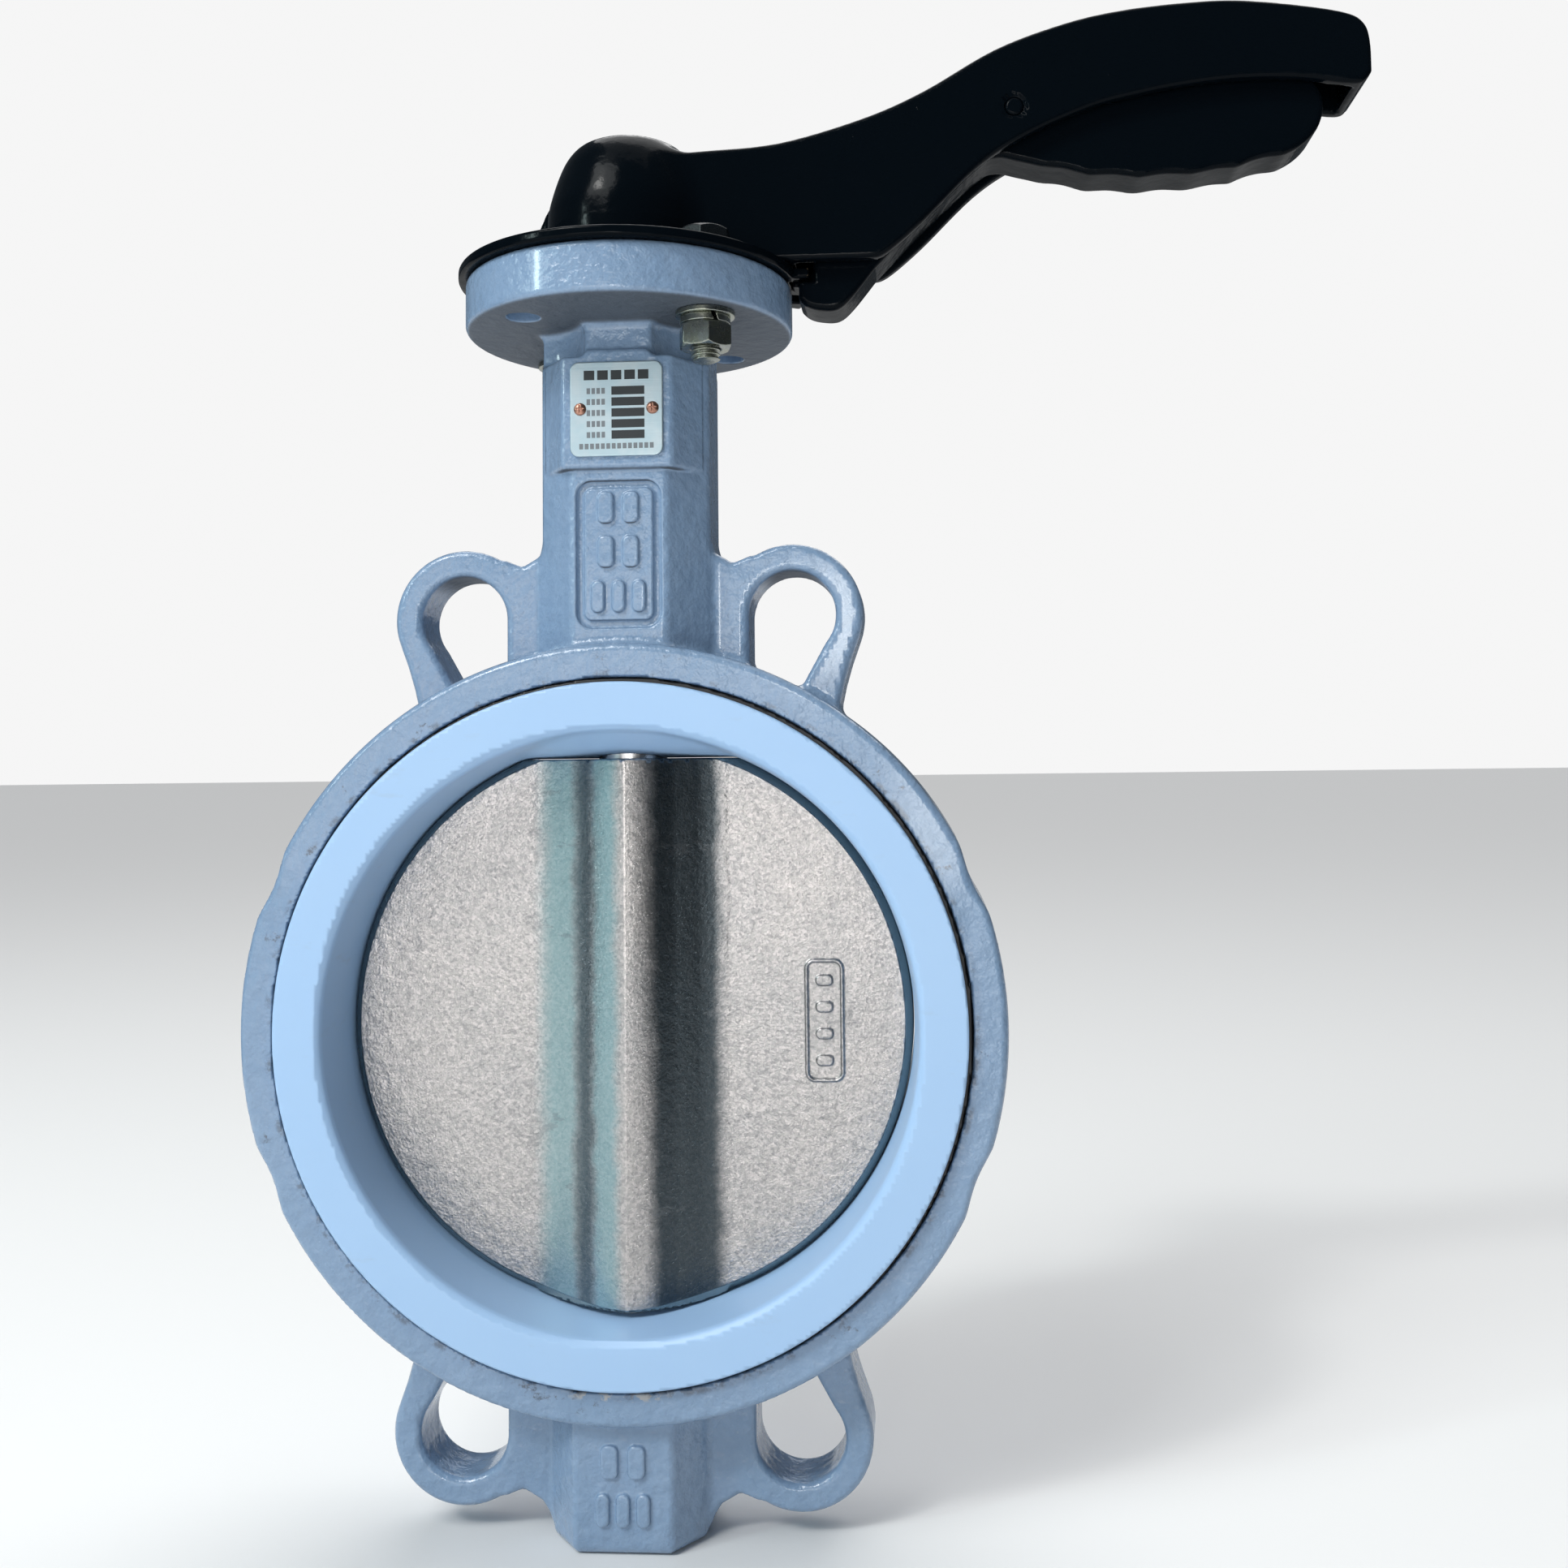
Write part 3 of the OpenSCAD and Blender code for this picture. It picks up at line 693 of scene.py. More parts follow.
@dataclass(frozen=True)
class Enamel:
    """Thick glossy black enamel, rubbed through a little on its sharp edges."""

    colour: tuple = (0.0015, 0.0030, 0.0048)
    rubbed: tuple = (0.19, 0.15, 0.10)
    wear: float = 0.55

    def material(self) -> bpy.types.Material:
        """Builds the finish."""
        mix = Recipe("black_enamel")
        sharp = mix.stored("edge").rise(0.42, 0.75)
        patch = mix.noise(75, 4, 0.65).rise(0.47, 0.60)
        worn = sharp * patch * self.wear
        skin = mix.blend(worn, self.colour, self.rubbed)
        dust = (1 - mix.cells(170).rise(0.02, 0.10)) * mix.noise(40, 2, 0.5).rise(0.5, 0.62)
        normal = mix.bump(mix.noise(60, 2, 0.5), 0.0004)
        normal = mix.bump(mix.noise(260, 3, 0.5) + dust * 1.2, 0.00011, normal)
        rough = 0.10 + mix.noise(120, 3, 0.5) * 0.10 + worn * 0.35
        return mix.surface(base_color=skin, roughness=rough, normal=normal, specular_ior_level=0.05)


@dataclass(frozen=True)
class Metal:
    """A plain metal with a little uneven gloss."""

    name: str
    colour: tuple
    rough: float = 0.28
    tint: tuple = (0.5, 0.5, 0.5)
    tint_share: float = 0.0
    grain: float = 700.0
    depth: float = 0.00004
    painted_above: float = 1.0
    enamel: tuple = (0.003, 0.005, 0.007)

    def material(self) -> bpy.types.Material:
        """Builds the finish, with black enamel above the painted height in metres."""
        mix = Recipe(self.name)
        _, _, z = mix.axes()
        painted = z.rise(self.painted_above, self.painted_above + 0.0002)
        cloud = mix.noise(220, 3, 0.6).rise(0.38, 0.62)
        skin = mix.blend(cloud * self.tint_share, self.colour, self.tint)
        skin = mix.blend(painted, skin, self.enamel)
        normal = mix.bump(mix.noise(self.grain, 3, 0.6), self.depth)
        rough = self.rough + mix.noise(260, 3, 0.6) * 0.14
        return mix.surface(base_color=skin, metallic=1 - painted, roughness=rough, normal=normal)


@dataclass(frozen=True)
class BrushedPlate:
    """Satin aluminium with fine strokes along its width."""

    colour: tuple = (0.42, 0.54, 0.60)
    clouded: tuple = (0.58, 0.62, 0.64)

    def material(self) -> bpy.types.Material:
        """Builds the finish."""
        mix = Recipe("nameplate")
        strokes = mix.noise(300, 3, 0.7, mix.stretched(0.25, 1, 9))
        cloud = mix.noise(160, 3, 0.6).rise(0.35, 0.65)
        skin = mix.blend(cloud * 0.35, self.colour, self.clouded)
        normal = mix.bump(strokes, 0.00003)
        return mix.surface(base_color=skin, metallic=0.75, roughness=0.30 + strokes * 0.2, normal=normal)


@dataclass(frozen=True)
class Flat:
    """A plain finish that isn't metal."""

    name: str
    colour: tuple
    rough: float = 0.6

    def material(self) -> bpy.types.Material:
        """Builds the finish."""
        mix = Recipe(self.name)
        normal = mix.bump(mix.noise(500, 2, 0.5), 0.00004)
        rough = self.rough + mix.noise(150, 2, 0.5) * 0.1
        return mix.surface(base_color=self.colour, roughness=rough, normal=normal)


class Finishes:
    """Every finish of the valve, made once."""

    def __init__(self) -> None:
        """Builds the materials."""
        self.paint = CastingPaint().material()
        self.seat = SeatSheen().material()
        self.disc = CastSteel().material()
        self.enamel = Enamel().material()
        zinc, passivated = (0.30, 0.32, 0.31), (0.35, 0.36, 0.27)
        self.zinc = Metal("zinc", zinc, 0.20, passivated, 0.6).material()
        self.bolt = Metal("part_painted_zinc", zinc, 0.20, passivated, 0.6, painted_above=0.2078).material()
        self.stem = Metal("stem_steel", (0.55, 0.55, 0.56), 0.22).material()
        self.spring = Metal("spring_steel", (0.40, 0.40, 0.42), 0.26).material()
        self.bronze = Metal("bronze", (0.60, 0.38, 0.15), 0.28, (0.42, 0.26, 0.10), 0.5).material()
        self.copper = Metal("rivet", (0.56, 0.30, 0.22), 0.30, (0.20, 0.10, 0.08), 0.6).material()
        self.nameplate = BrushedPlate().material()
        self.rubber = Flat("rubber", (0.008, 0.008, 0.009), 0.38).material()
        self.grey_print = Flat("grey_print", (0.16, 0.18, 0.20), 0.5).material()
        self.dark_print = Flat("dark_print", (0.018, 0.022, 0.026), 0.5).material()


# ---- the casting ----


@dataclass
class BodyCasting:
    """The iron body: ring, ears, neck, mounting flange and bottom boss, in millimetres."""

    finishes: Finishes
    ring_r: float = 102.5
    ring_half: float = 25.0
    recess_r: float = 93.4
    recess_floor: float = 20.0
    bore_r: float = 88.0
    ear_x: float = 45.92
    ear_z: float = 110.87
    ear_r: float = 19.5
    ear_half: float = 9.0
    slot_r: float = 12.0
    scallop_r: float = 18.5
    neck_half: float = 23.5
    boss_half: float = 21.0
    column_half: float = 20.0
    column_face: float = 13.0
    column_side: float = 10.0
    pad_y: float = -21.5
    pad_low: float = 150.0
    pocket_floor: float = 181.0
    flange_low: float = 191.0
    flange_top: float = 205.0
    flange_r: float = 46.0
    boss_low: float = -137.0
    hole_place: float = 24.749
    panel_low: float = 107.0
    panel_high: float = 147.0
    bolt_hole_r: float = 4.5
    bush_r: float = 12.0
    stem_bore_low: float = 94.0
    stem_bore_top: float = 200.0
    counterbore_r: float = 15.0
    plug_r: float = 13.5
    plug_top: float = -129.0
    mark_height: float = 8.6
    mark_raise: float = 1.1

    def ring(self) -> Form:
        """The wafer ring, still solid."""
        return rod_y(0, 0, self.ring_r).overlap(slab_y(-self.ring_half, self.ring_half), 2.0)

    def ears(self) -> Form:
        """The four slotted ears."""
        web = outline_xz([(10, 80), (10, 134), (21.5, 133), (24.5, 128.5), (29.5, 125.6), (34, 126.4),
                          (44, 118), (44, 80)])
        strap = outline_xz([(40, 80), (40, 112), (64.8, 105.9), (63.6, 102.3), (61.9, 97.6), (60.1, 91.4),
                            (58.5, 84)])
        loop = rod_y(self.ear_x, self.ear_z, self.ear_r).join(web, 3.0).join(strap)
        inner = self.ear_x - self.slot_r
        wedge = outline_xz([(inner, self.ear_z), (inner, 90.5), (self.ear_x + 1, 88.5),
                            (self.ear_x + 11.2, self.ear_z - 4.2)])
        slot = rod_y(self.ear_x, self.ear_z, self.slot_r).join(wedge)
        bar = loop.cut(slot).overlap(slab_y(-self.ear_half, self.ear_half), 1.9)
        return bar.both_sides(True, False, True)

    def column(self, half: float, low: float, high: float, end: float) -> Form:
        """A stem column with chamfered corners."""
        face, side, depth = self.column_face, self.column_side, self.column_half
        flats = Form(lambda x, y, z: np.abs(x) - half).overlap(Form(lambda x, y, z: np.abs(y) - depth))
        rise, run = depth - side, half - face
        chamfer = plane(rise, run, 0, rise * face + run * depth).both_sides(True, True)
        return flats.overlap(chamfer, 1.0).overlap(slab_z(low, high), end)

    def neck(self) -> Form:
        """The neck, with the nameplate pad and the pockets round the flange's nuts."""
        pad_side = plane(8, -5.5, 0, 8 * 15 + 5.5 * 21.5).both_sides()
        pad = plane(0, -1, 0, -self.pad_y).overlap(pad_side, 0.9).overlap(plane(0, 1, 0, -12))
        pad = pad.overlap(slab_z(self.pad_low, self.pocket_floor + 2), 1.4)
        pocket = rod_z(self.hole_place, self.hole_place, 16.5).both_sides(True, True)
        pocket = pocket.overlap(slab_z(self.pocket_floor, 230), 2.2)
        column = self.column(self.neck_half, 80, self.flange_low + 6, 0).join(pad, 0.8)
        return column.cut(pocket, 1.0)

    def flange(self) -> Form:
        """The round mounting flange."""
        return rod_z(0, 0, self.flange_r).overlap(slab_z(self.flange_low, self.flange_top), 1.7)

    def panel_marks(self) -> Form:
        """Plain raised blocks in rows, where a foundry puts its size and grade marks."""
        rows = ((139.6, (-3.4, 3.4), 4.4), (127.6, (-3.4, 3.4), 4.4), (115.4, (-5.6, 0.0, 5.6), 3.6),
                (-112.6, (-3.6, 3.6), 4.6), (-125.0, (-5.4, 0.0, 5.4), 3.6))
        marks = None
        for height, places, width in rows:
            for place in places:
                block = soft_box(place, height, width, self.mark_height, 1.7)
                marks = block if marks is None else marks.join(block)
        return marks.overlap(slab_y(-self.column_half - self.mark_raise, -self.column_half + 3), 0.6)

    def holes(self) -> Form:
        """Everything that is machined away."""
        recess = rod_y(0, 0, self.recess_r).overlap(Form(lambda x, y, z: self.recess_floor - np.abs(y)))
        holes = recess.join(rod_y(0, 0, self.bore_r))
        for radius, low, high in ((self.bush_r, self.stem_bore_low, 230), (self.bush_r, self.plug_top, -80),
                                  (self.plug_r, -150, self.plug_top),
                                  (self.counterbore_r, self.stem_bore_top, 230)):
            holes = holes.join(rod_z(0, 0, radius).overlap(slab_z(low, high)))
        return holes

    def form(self) -> Form:
        """The whole casting."""
        scallops = rod_y(self.ear_z, self.ear_x, self.scallop_r).both_sides(True, False, True)
        casting = self.ring().cut(scallops, 2.5).join(self.ears(), 2.0)
        casting = casting.join(self.neck(), 2.2)
        casting = casting.join(self.column(self.boss_half, self.boss_low, -80, 3.2), 2.2)
        casting = casting.join(self.flange(), 2.6)
        middle = (self.panel_low + self.panel_high) / 2
        frame_line = soft_box(0, middle, 21.0, self.panel_high - self.panel_low - 2, 3.2)
        groove = Form(lambda x, y, z: np.abs(frame_line.distance(x, y, z)) - 1.1)
        groove = groove.overlap(slab_y(-30, -self.column_half + 1.3), 0.8)
        casting = casting.cut(groove, 0.4).join(self.panel_marks(), 0.5)
        bolt_holes = rod_z(self.hole_place, self.hole_place, self.bolt_hole_r).both_sides(True, True)
        bolt_holes = bolt_holes.overlap(slab_z(self.flange_low - 4, 230))
        return casting.cut(self.holes(), 0.5).cut(bolt_holes, 0.5)

    def sampling(self) -> Sampling:
        """Close samples on the neck's front, wider ones elsewhere."""
        side = self.ring_r + 2.5
        return Sampling(spaced(-side, side, 1.25, [(-24.5, 24.5, 0.6)]),
                        spaced(-47.5, 47.5, 1.2, [(-22.6, -17.8, 0.4)]),
                        spaced(self.boss_low - 2, self.flange_top + 2, 1.2,
                               [(-130, -107, 0.6), (105, 150, 0.6), (150, 207, 0.8)]))

    def build(self) -> None:
        """Builds the casting and dresses it."""
        casting = skinned("body_casting", self.form(), self.sampling())
        seated(casting, Body.CASING, Slot.PAINT, self.finishes.paint, "valve_body")


@dataclass
class Seat:
    """The liner, its rubber backing and the disc's running surfaces, in millimetres."""

    finishes: Finishes
    bore_r: float = 77.95
    lip_r: float = 79.3
    wall_r: float = 81.2
    face_r: float = 92.1
    face: float = 28.0
    fold: float = 24.7
    backing_r: float = 93.2
    upper_land: float = 71.9
    lower_land: float = 76.4
    land_half: float = 8.5
    land_reach: float = 26.0
    stem_hole_r: float = 9.55
    body_bore_r: float = 88.0
    body_rib: float = 20.0

    def land(self, height: float, sign: int) -> Form:
        """The raised land round a stem hole, with ramps to both lips."""
        run, rise = self.land_reach - self.land_half, self.lip_r - height
        flat = plane(0, 0, -sign, -height)
        ramp = plane(0, rise, -sign * run, rise * self.land_half - run * height).both_sides(False, True)
        land = flat.overlap(ramp, 3.0).overlap(rod_y(0, 0, self.wall_r - 0.4))
        end = self.land_reach + 0.5
        return land.overlap(slab_y(-end, end))

    def liner(self) -> Form:
        """The white liner, wrapped round both faces."""
        lip = flowing([(self.lip_r - 0.1, 25.4), (self.lip_r + 0.35, 26.9), (self.lip_r + 1.6, self.face)])
        profile = [(self.bore_r, 0), (self.bore_r, self.land_half), *lip, (self.face_r - 0.4, self.face),
                   (self.face_r, self.face - 0.4), (self.face_r, self.fold), (self.wall_r, self.fold),
                   (self.wall_r, 0)]
        form = lathe_y(profile).join(self.land(self.upper_land, 1), 0.8)
        form = form.join(self.land(self.lower_land, -1), 0.8)
        return form.cut(rod_z(0, 0, self.stem_hole_r))

    def backing(self) -> Form:
        """The black rubber behind the liner."""
        profile = [(self.wall_r, 0), (self.wall_r, self.fold), (self.backing_r, self.fold),
                   (self.backing_r, self.body_rib), (self.body_bore_r, self.body_rib), (self.body_bore_r, 0)]
        return lathe_y(profile).cut(rod_z(0, 0, self.stem_hole_r))

    def build(self) -> None:
        """Builds both and dresses them."""
        reach = self.face_r + 2
        across = spaced(-reach, reach, 1.15)
        along = spaced(-29.5, 29.5, 1.3, [(-28.6, -24.2, 0.45), (24.2, 28.6, 0.45)])
        liner = skinned("seat_liner_skin", self.liner(), Sampling(across, along, across))
        seated(liner, Body.CASING, Slot.SEAT, self.finishes.seat, "seat_liner")
        wide = spaced(-reach - 1, reach + 1, 1.4)
        backing = skinned("seat_backing_skin", self.backing(), Sampling(wide, spaced(-26, 26, 0.8), wide))
        seated(backing, Body.CASING, Slot.RUBBER, self.finishes.rubber, "seat_backing")


@dataclass
class DiscAndStems:
    """The cast disc with its hub, and both stems with their bearings, in millimetres."""

    finishes: Finishes
    disc_r: float = 77.75
    half: float = 7.0
    hub_r: float = 14.0
    top: float = 71.75
    bottom: float = -76.0
    fairing_x: float = 26.0
    fairing_y: float = 6.2
    stem_r: float = 9.5

    def plate(self) -> Form:
        """The round plate with its machined rim."""
        rim = [(0, 0), (0, self.half), (self.disc_r - 2.1, self.half), (self.disc_r + 0.1, self.half - 2.5),
               (self.disc_r + 0.1, 0)]
        return lathe_y(rim)

    def fairings(self) -> Form:
        """The sloping flanks that blend the hub into the plate."""
        rise, run = 13.26 - self.fairing_y, self.fairing_x - 4.5
        slope = plane(rise, run, 0, rise * self.fairing_x + run * self.fairing_y).both_sides(True, True)
        return slope.overlap(slab_x(-self.fairing_x, self.fairing_x))

    def marks(self) -> Form:
        """A raised frame with four plain pips."""
        ring = soft_box(53.5, 0, 10.5, 33, 2.6).cut(soft_box(53.5, 0, 8.9, 31.4, 1.8))
        for i in range(4):
            ring = ring.join(soft_box(53.5, (i - 1.5) * 7.2, 4.6, 2.8, 1.3))
        return ring.overlap(slab_y(-self.half - 0.7, -self.half + 2), 0.35)

    def form(self) -> Form:
        """The whole disc."""
        body = self.plate().join(self.fairings().overlap(slab_z(-90, 90)), 1.5)
        body = body.join(rod_z(0, 0, self.hub_r), 3.0)
        body = body.overlap(Form(lambda x, y, z: np.sqrt(x * x + y * y + z * z) - self.disc_r), 0.15)
        body = body.overlap(slab_z(self.bottom, self.top), 0.3).join(self.marks(), 0.35)
        bore = rod_z(0, 0, self.stem_r + 0.05)
        bore = bore.overlap(slab_z(-90, -40)).join(bore.overlap(slab_z(34, 90)))
        return body.cut(bore)

    def build(self) -> None:
        """Builds the disc, and dresses the stems and bearings."""
        across = spaced(-79.5, 79.5, 1.1, [(47.4, 59.6, 0.42)])
        along = spaced(-16, 16, 0.9, [(-8.4, -6.2, 0.35)])
        height = spaced(-79, 74, 1.1, [(-17.4, 17.4, 0.5)])
        disc = skinned("disc_casting", self.form(), Sampling(across, along, height))
        seated(disc, Body.ROTOR, Slot.DISC, self.finishes.disc, "disc")
        for node in ("upper_stem", "lower_stem", "stem_circlip"):
            dressed(node, self.finishes.stem)
        for node in ("upper_bush", "middle_bush", "lower_bush", "thrust_washer", "thrust_pad"):
            dressed(node, self.finishes.bronze)
        for node in ("upper_stem_seals", "middle_stem_seal", "lower_stem_seal", "plug_seal"):
            dressed(node, self.finishes.rubber)
        dressed("bottom_plug", self.finishes.zinc, 0.0004)


@dataclass
class LatchPlate:
    """The notched plate and the two bolts that hold it, in millimetres."""

    finishes: Finishes
    low: float = 205.0
    thick: float = 3.0
    rim_r: float = 48.0
    teeth_r: float = 52.0
    notch_half: float = 3.5
    pitch: float = 15.0
    notches: int = 7
    sector_start: float = -9.0
    sector_end: float = 99.0
    bolt_place: float = 24.749
    bolt_hole_r: float = 4.5
    under: float = 191.0
    bolt_end: float = 177.5
    flats: float = 13.0
    thread_r: float = 3.98
    thread_pitch: float = 1.25
    washer_t: float = 1.6
    spring_t: float = 2.0

    def plate(self) -> Form:
        """The plate with its notches."""
        start, end = math.radians(self.sector_start), math.radians(self.sector_end)
        sector = rod_z(0, 0, self.teeth_r).overlap(plane(math.sin(start), -math.cos(start), 0, 0).overlap(
            plane(-math.sin(end), math.cos(end), 0, 0)))
        half, floor = self.notch_half, plane(-1, 0, 0, 2 - self.rim_r)
        notches = None
        for i in range(self.notches):
            notch = slab_y(-half, half).overlap(floor)
            notch = notch.turned(self.pitch * i)
            notches = notch if notches is None else notches.join(notch)
        plate = rod_z(0, 0, self.rim_r).join(sector, 1.5).cut(notches, 0.6)
        holes = rod_z(self.bolt_place, self.bolt_place, self.bolt_hole_r).both_sides(True, True)
        holes = holes.join(rod_z(0, 0, 10.5))
        return plate.overlap(slab_z(self.low, self.low + self.thick), 0.9).cut(holes, 0.3)

    def bolt(self) -> Form:
        """A hexagon bolt with a cut thread."""
        top = self.low + self.thick
        dome = lathe_z([(0, top), (7.6, top), (7.6, top + 4.3), (6.3, top + 5.3), (0, top + 5.3)])
        head = hexagon(self.flats).overlap(dome, 0.2)

        def thread(x: Array, y: Array, z: Array) -> Array:
            phase = z / self.thread_pitch - np.arctan2(y, x) / (2 * math.pi)
            groove = np.abs(phase - np.round(phase)) * 2
            cut = 0.62 * np.clip(1.15 - 1.3 * groove, 0, 1) * (z < self.under - 1)
            return (np.hypot(x, y) - self.thread_r + cut) * 0.8

        shank = Form(thread).overlap(slab_z(self.bolt_end, top + 1), 0.7)
        return head.join(shank)

    def nut(self) -> Form:
        """A chamfered hexagon nut."""
        high = self.under - self.washer_t - self.spring_t
        low = high - 6.5
        barrel = lathe_z([(0, low), (6.4, low), (7.6, low + 0.75), (7.6, high - 0.75), (6.4, high),
                          (0, high)])
        return hexagon(self.flats).turned(15).overlap(barrel, 0.15).cut(rod_z(0, 0, 4.02), 0.4)

    def ring(self, outer: float, inner: float, low: float, high: float, edge: float) -> Form:
        """A washer."""
        return rod_z(0, 0, outer).overlap(slab_z(low, high), edge).cut(rod_z(0, 0, inner), edge * 0.7)

    def spring_washer(self) -> Form:
        """A split spring washer."""
        top, slant, half_gap = self.under - self.washer_t, 0.36, 0.6
        ring = self.ring(6.8, 4.1, top - self.spring_t, top, 0.25)
        rise = slant * (top - self.spring_t / 2)
        slit = plane(0, 1, slant, rise + half_gap)
        other = plane(0, -1, -slant, half_gap - rise)
        gap = slit.overlap(other).overlap(plane(-1, 0, 0, 0)).turned(-60)
        return ring.cut(gap)

    def build(self) -> None:
        """Builds the plate and its fastenings."""
        reach = self.teeth_r + 1.5
        wide = spaced(-reach, reach, 0.75)
        levels = spaced(self.low - 0.8, self.low + self.thick + 0.8, 0.35)
        plate = skinned("latch_plate_skin", self.plate(), Sampling(wide, wide, levels))
        seated(plate, Body.CASING, Slot.ENAMEL, self.finishes.enamel, "latch_plate")
        places = ((self.bolt_place, -self.bolt_place, 0), (-self.bolt_place, self.bolt_place, 0))
        narrow = spaced(-9, 9, 0.3)
        parts = (("plate_bolts", self.bolt(), spaced(176.5, 214.5, 0.16, [(192, 214.5, 0.35)])),
                 ("plate_nuts", self.nut(), spaced(179.5, 189, 0.28)),
                 ("plate_flat_washers", self.ring(8.0, 4.2, self.under - self.washer_t, self.under, 0.3),
                  spaced(188, 192, 0.22)),
                 ("plate_spring_washers", self.spring_washer(), spaced(186.5, 190.4, 0.22)))
        for node, form, heights in parts:
            piece = skinned(node + "_pair", form, Sampling(narrow, narrow, heights), places)
            finish = self.finishes.bolt if node == "plate_bolts" else self.finishes.zinc
            seated(piece, Body.CASING, Slot.ZINC, finish, node)


@dataclass
class Lever:
    """The cast lever with its channel, and what holds it on the stem, in millimetres."""

    finishes: Finishes
    low: float = 208.5
    half: float = 12.5
    channel_half: float = 8.5
    channel_start: float = 48.0
    channel_end: float = 201.2
    tail_half: float = 3.5
    tail_turn: float = 168.0
    roof: float = 4.5
    washer_t: float = 2.0
    drive_half: float = 7.05
    recess: float = 240.3
    hub_top: float = 245.3
    pin_x: float = 109.0
    pin_z: float = 249.6
    pin_r: float = 2.5

    def top_line(self) -> list[Point]:
        """The arm's upper edge, from hub to tip."""
        return flowing([(24, 240.6), (44, 242), (67, 248), (84, 255), (104, 266), (123, 272.5), (139, 275.6),
                        (157, 277), (170, 277), (186, 275), (199, 272.3), (203.8, 269.2), (205.4, 264),
                        (205.6, 255.6)])

    def low_line(self) -> list[Point]:
        """The arm's lower edge, from tip to hub."""
        return flowing([(204.6, 254.0), (201, 252.6), (187, 254.6), (172, 255.2), (156, 254), (140, 251.3),
                        (128, 248.2), (110.5, 240.8), (98, 232.7), (83, 218.2), (73, 210.0), (68, self.low)])

    def hub(self) -> Form:
        """The boss round the stem."""
        shoulder = flowing([(23.5, 220), (23.1, 226), (21.9, 231), (20.4, 235.6), (18.8, 239.4),
                            (17.1, 242.1), (15.2, 244.1), (13.2, self.hub_top)])
        foot = [(0, self.low), (23.0, self.low), (23.5, self.low + 0.6)]
        return lathe_z([*foot, *shoulder, (0, self.hub_top)])

    def tail(self) -> Form:
        """The low web behind the hub."""
        outline = flowing([(4, self.low), (33, self.low), (30.5, 214), (27.5, 224), (21, 233), (4, 236)],
                          True, 4)
        web = outline_xz(outline).overlap(slab_y(-self.tail_half, self.tail_half), 1.2)
        return web.turned(self.tail_turn)

    def form(self) -> Form:
        """The whole lever."""
        outline = [(0, self.low), (0, self.recess), (17, self.recess), *self.top_line(), *self.low_line()]
        arm = outline_xz(outline).overlap(slab_y(-self.half, self.half), 1.5)
        arm = arm.overlap(slab_z(self.low, 300), 0.6)
        ceiling = [(x, z - self.roof) for x, z in self.top_line() if self.channel_start < x < 198]
        start, end = self.channel_start, self.channel_end
        hollow = [(start, 180), (start, 237.6), *ceiling, (end, 263), (end, 180)]
        channel = outline_xz(hollow).overlap(slab_y(-self.channel_half, self.channel_half), 1.5)
        lever = arm.join(self.hub(), 3.5).join(self.tail(), 2.5).cut(channel, 0.9)
        lever = lever.overlap(slab_z(self.low, 300), 0.5)
        dish = rod_z(0, 0, 12).overlap(slab_z(self.recess, 300))
        drive = self.drive_half
        square = slab_x(-drive, drive).overlap(slab_y(-drive, drive)).overlap(rod_z(0, 0, 9.55))
        square = square.overlap(slab_z(150, 270))
        pin = rod_y(self.pin_x, self.pin_z, self.pin_r)
        seat = rod_y(self.pin_x, self.pin_z, self.pin_r + 0.9)
        seat = seat.overlap(Form(lambda x, y, z: self.half - 0.5 - np.abs(y)), 0.3)
        return lever.cut(dish, 0.8).cut(square).cut(pin).cut(seat, 0.4)

    def screw(self) -> Form:
        """The button head screw on the stem's end."""
        low = self.recess + self.washer_t
        top = low + 2.9
        head = lathe_z([(0, 229), (4, 229), (4, low), (7, low), (7, low + 1.6), (6.2, top - 0.3), (5, top),
                        (0, top)])
        socket = hexagon(5).overlap(slab_z(low + 0.6, 260))
        return head.cut(socket, 0.2)

    def pin(self) -> Form:
        """The trigger's pin with domed ends."""
        reach = self.half - 0.1
        return rod_y(self.pin_x, self.pin_z, self.pin_r).overlap(slab_y(-reach, reach), 0.9)

    def build(self) -> None:
        """Builds the lever and its small pieces."""
        lever = skinned("lever_casting", self.form(),
                        Sampling(spaced(-36, 208, 0.9), spaced(-25.5, 25.5, 0.85), spaced(206.5, 279, 0.85)))
        seated(lever, Body.ROTOR, Slot.ENAMEL, self.finishes.enamel, "lever_handle")
        narrow = spaced(-8.5, 8.5, 0.3)
        screw = skinned("lever_screw_skin", self.screw(), Sampling(narrow, narrow, spaced(228, 246.5, 0.3)))
        seated(screw, Body.ROTOR, Slot.ZINC, self.finishes.zinc, "lever_screw")
        washer = rod_z(0, 0, 11.5).overlap(slab_z(self.recess, self.recess + self.washer_t), 0.4)
        washer = washer.cut(rod_z(0, 0, 4.2), 0.3)
        wide = spaced(-12.5, 12.5, 0.4)
        disc = skinned("lever_washer_skin", washer, Sampling(wide, wide, spaced(239.5, 243.1, 0.3)))
        seated(disc, Body.ROTOR, Slot.ZINC, self.finishes.zinc, "lever_washer")
        pin = skinned("trigger_pin_skin", self.pin(),
                      Sampling(spaced(self.pin_x - 3.5, self.pin_x + 3.5, 0.3), spaced(-13.5, 13.5, 0.35),
                               spaced(self.pin_z - 3.5, self.pin_z + 3.5, 0.3)))
        seated(pin, Body.ROTOR, Slot.STEM, self.finishes.enamel, "trigger_pin")


